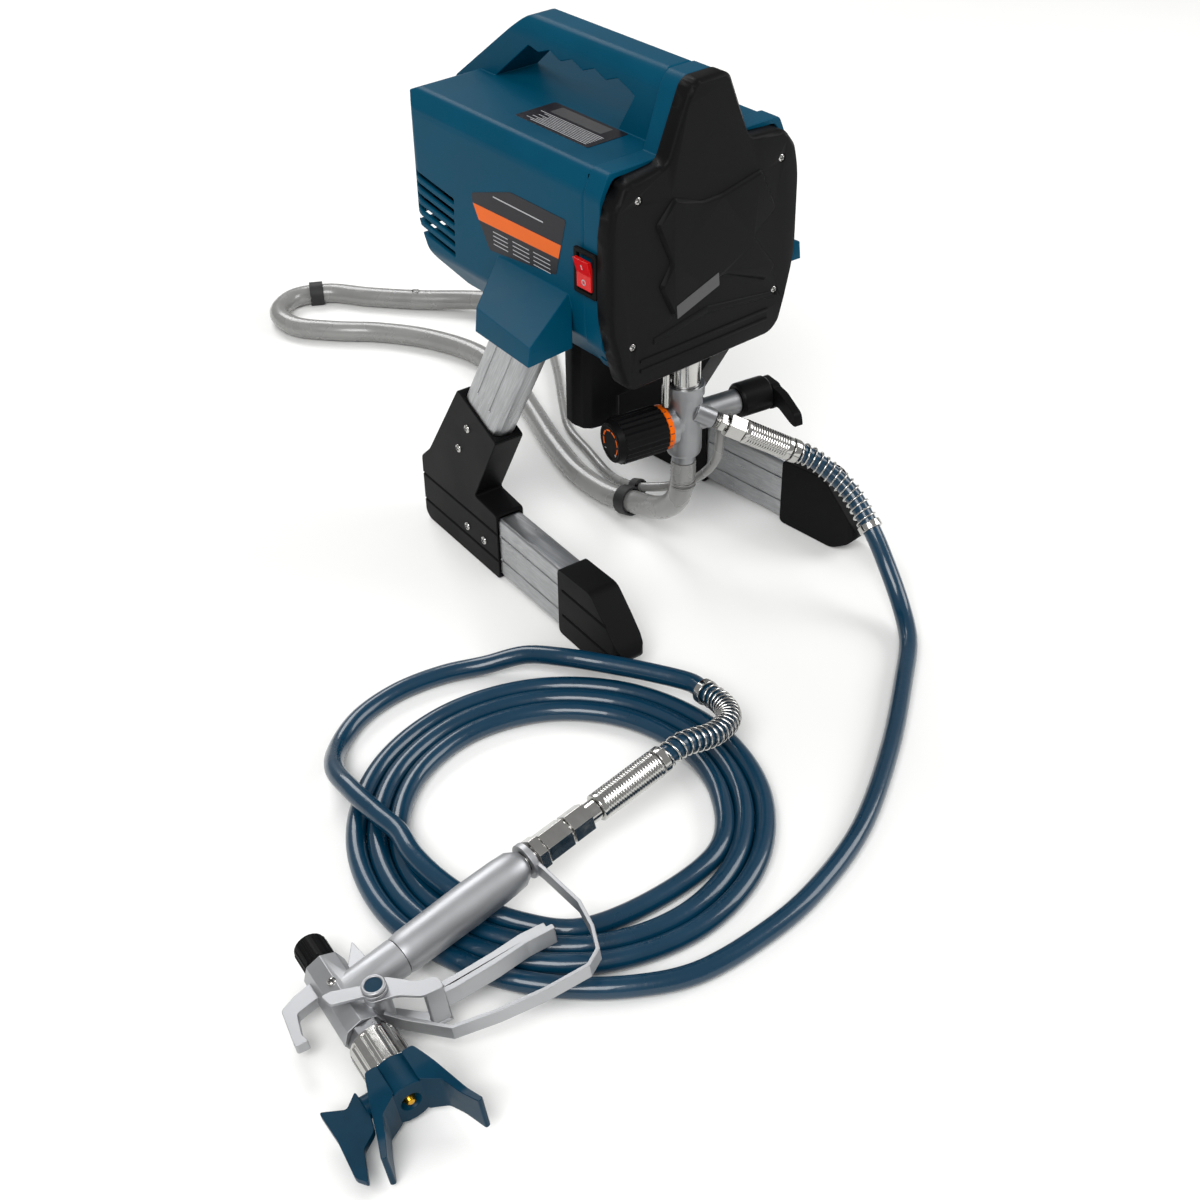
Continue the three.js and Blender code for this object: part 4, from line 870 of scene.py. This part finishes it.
class SPRAYER_OT_ferrules(bpy.types.Operator):
    """Turns the rings of the hose ferrules and the threads of the fittings"""

    bl_idname = "sprayer.ferrules"
    bl_label = "Ferrules"

    def execute(self, context):
        def ringed(name, node, start, run, radius, long, nose):
            """A crimped sleeve with grooves, narrower at the end that the hose enters."""
            pitch = 2.2
            profile = [(radius * 0.9, 0), (radius, 0.8)]
            rings = int((long - 6) / pitch)
            groove = radius - 0.55
            for i in range(rings):
                s = 4 + i * pitch
                profile += [(radius, s), (groove, s + 0.35), (groove, s + 0.8), (radius, s + 1.15)]
            profile += [(radius, long - 1), (nose, long)]
            made = Maker().turned(profile, along(start, run), 40)
            piece = made.piece(name, MACHINE, "plated_steel", ["nickel"])
            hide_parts(node)

        ringed("outlet_crimp_sleeve", "outlet_ferrule", on_outlet(22.3), OUTLET_RUN, 9.6, 43, 8.6)
        run = on_grip(10) - on_grip(0)
        ringed("gun_crimp_sleeve", "gun_ferrule", on_grip(205.3), run, 10, 54.5, 8)
        threads = Maker()
        nipple = along(on_outlet(0), OUTLET_RUN)
        for k in range(4):
            s = -2.8 + k * 1.0
            threads.ring([(6.0, s), (6.9, s + 0.35), (6.0, s + 0.7)], nipple, 32)
        threads.piece("outlet_thread", MACHINE, "plated_steel", ["nickel"])
        barb = Maker()
        for k in range(7):
            z = 101 - 3.2 * k
            barb.ring([(9.6, z), (10.25, z - 1), (9.6, z - 2)], shift(0, -84.4), 40)
        barb.piece("suction_barb", MACHINE, "clear_vinyl", ["vinyl"])
        return {"FINISHED"}


class SPRAYER_OT_gun_details(bpy.types.Operator):
    """Adds the brass tip, the pivot ring and the flutes of the rear cap"""

    bl_idname = "sprayer.gun_details"
    bl_label = "Gun details"

    def execute(self, context):
        nozzle = GUN @ along((70, 0, 0), (1, 0, 0))
        tip = Maker()
        profile = [(3.8, 2.4), (4.6, 3.2), (4.6, 5.6), (3.2, 6.8), (3.0, 9.4), (1.2, 10.2)]
        tip.turned(profile, nozzle, 24)
        tip.plate(bar(-6, 6, -1.3, 1.3), 3.2, 5.2, nozzle)
        tip.piece("spray_tip", "tip_key", "plated_steel", ["brass"])
        cap = Maker()
        for k in range(16):
            turn = Matrix.Rotation(2 * math.pi * k / 16, 4, "X")
            place = GUN @ shift(0, -1, 0) @ turn @ shift(-41, 0, 10.4)
            cap.plate(rounded(bar(-16.5, 0, -0.9, 0.9), 0.6), -0.4, 0.55, place)
        cap.piece("rear_cap_flutes", MACHINE, "black_plastic", ["black_polypropylene"], 0.2 * MM)
        disc = GUN @ shift(*PIVOT, 21.6)
        pivot = Maker()
        profile = [(5.5, -1.4), (7.7, -1.4), (7.7, 0.2), (7.1, 0.9), (5.9, 0.9), (5.5, 0.2)]
        pivot.ring(profile, disc, 40)
        pivot.piece("pivot_ring", MACHINE, "plated_steel", ["gun_casting"])
        lock = Maker()
        screw(lock, GUN @ shift(-15, -3, 13.2), 6)
        lock.piece("body_screw", MACHINE, "plated_steel", ["nickel", "recess"])
        return {"FINISHED"}


class SPRAYER_OT_stage(bpy.types.Operator):
    """Adds the plain pale floor and the soft lights"""

    bl_idname = "sprayer.stage"
    bl_label = "Stage"

    def execute(self, context):
        data = bpy.data.meshes.new("floor")
        half, below = 6.0, -0.4 * MM
        corners = [(x, y, below) for x, y in bar(-half, half, -half, half)]
        data.from_pydata(corners, [], [(0, 1, 2, 3)])
        data.materials.append(FINISHES["floor"].material)
        floor = bpy.data.objects.new("floor", data)
        context.scene.collection.objects.link(floor)
        world = bpy.data.worlds.new("studio")
        world.use_nodes = True
        background = world.node_tree.nodes["Background"]
        background.inputs["Color"].default_value = (1, 1, 1, 1)
        background.inputs["Strength"].default_value = 0.38
        context.scene.world = world
        context.scene.view_settings.view_transform = "Standard"
        target = Vector((-0.1, -0.1, 0.15))
        for name, place, size, power in (
            ("key", (-1.9, -1.5, 2.3), 1.6, 78),
            ("fill", (1.9, -1.3, 1.5), 1.4, 34),
            ("rim", (0.3, 2.1, 2.0), 1.4, 38),
        ):
            light = bpy.data.lights.new(name, "AREA")
            light.size, light.energy = size, power
            lamp = bpy.data.objects.new(name, light)
            lamp.location = place
            lamp.rotation_mode = "QUATERNION"
            lamp.rotation_quaternion = (target - Vector(place)).to_track_quat("-Z", "Y")
            context.scene.collection.objects.link(lamp)
        return {"FINISHED"}


OPERATORS = (
    SPRAYER_OT_camera, SPRAYER_OT_materials, SPRAYER_OT_paint_hose, SPRAYER_OT_clear_hoses,
    SPRAYER_OT_finishes, SPRAYER_OT_screws, SPRAYER_OT_labels, SPRAYER_OT_controls,
    SPRAYER_OT_ferrules, SPRAYER_OT_gun_details, SPRAYER_OT_stage,
)


class SPRAYER_PT_panel(bpy.types.Panel):
    """Lists the sizes, the colours and the steps"""

    bl_idname = "SPRAYER_PT_panel"
    bl_label = "Airless paint sprayer"
    bl_space_type = "VIEW_3D"
    bl_region_type = "UI"
    bl_category = "Sprayer"

    def draw(self, context):
        for group in (context.scene.sprayer_sizes, context.scene.sprayer_colours):
            for name in type(group).__annotations__:
                self.layout.prop(group, name)
        for operator in OPERATORS:
            self.layout.operator(operator.bl_idname)


CLASSES = (SprayerColours, SprayerSizes, *OPERATORS, SPRAYER_PT_panel)


def register():
    for each in CLASSES:
        bpy.utils.register_class(each)
    bpy.types.Scene.sprayer_colours = bpy.props.PointerProperty(type=SprayerColours)
    bpy.types.Scene.sprayer_sizes = bpy.props.PointerProperty(type=SprayerSizes)


def unregister():
    del bpy.types.Scene.sprayer_sizes
    del bpy.types.Scene.sprayer_colours
    for each in reversed(CLASSES):
        bpy.utils.unregister_class(each)


def main():
    register()
    for operator in OPERATORS:
        group, name = operator.bl_idname.split(".")
        getattr(getattr(bpy.ops, group), name)()


if __name__ == "__main__":
    main()
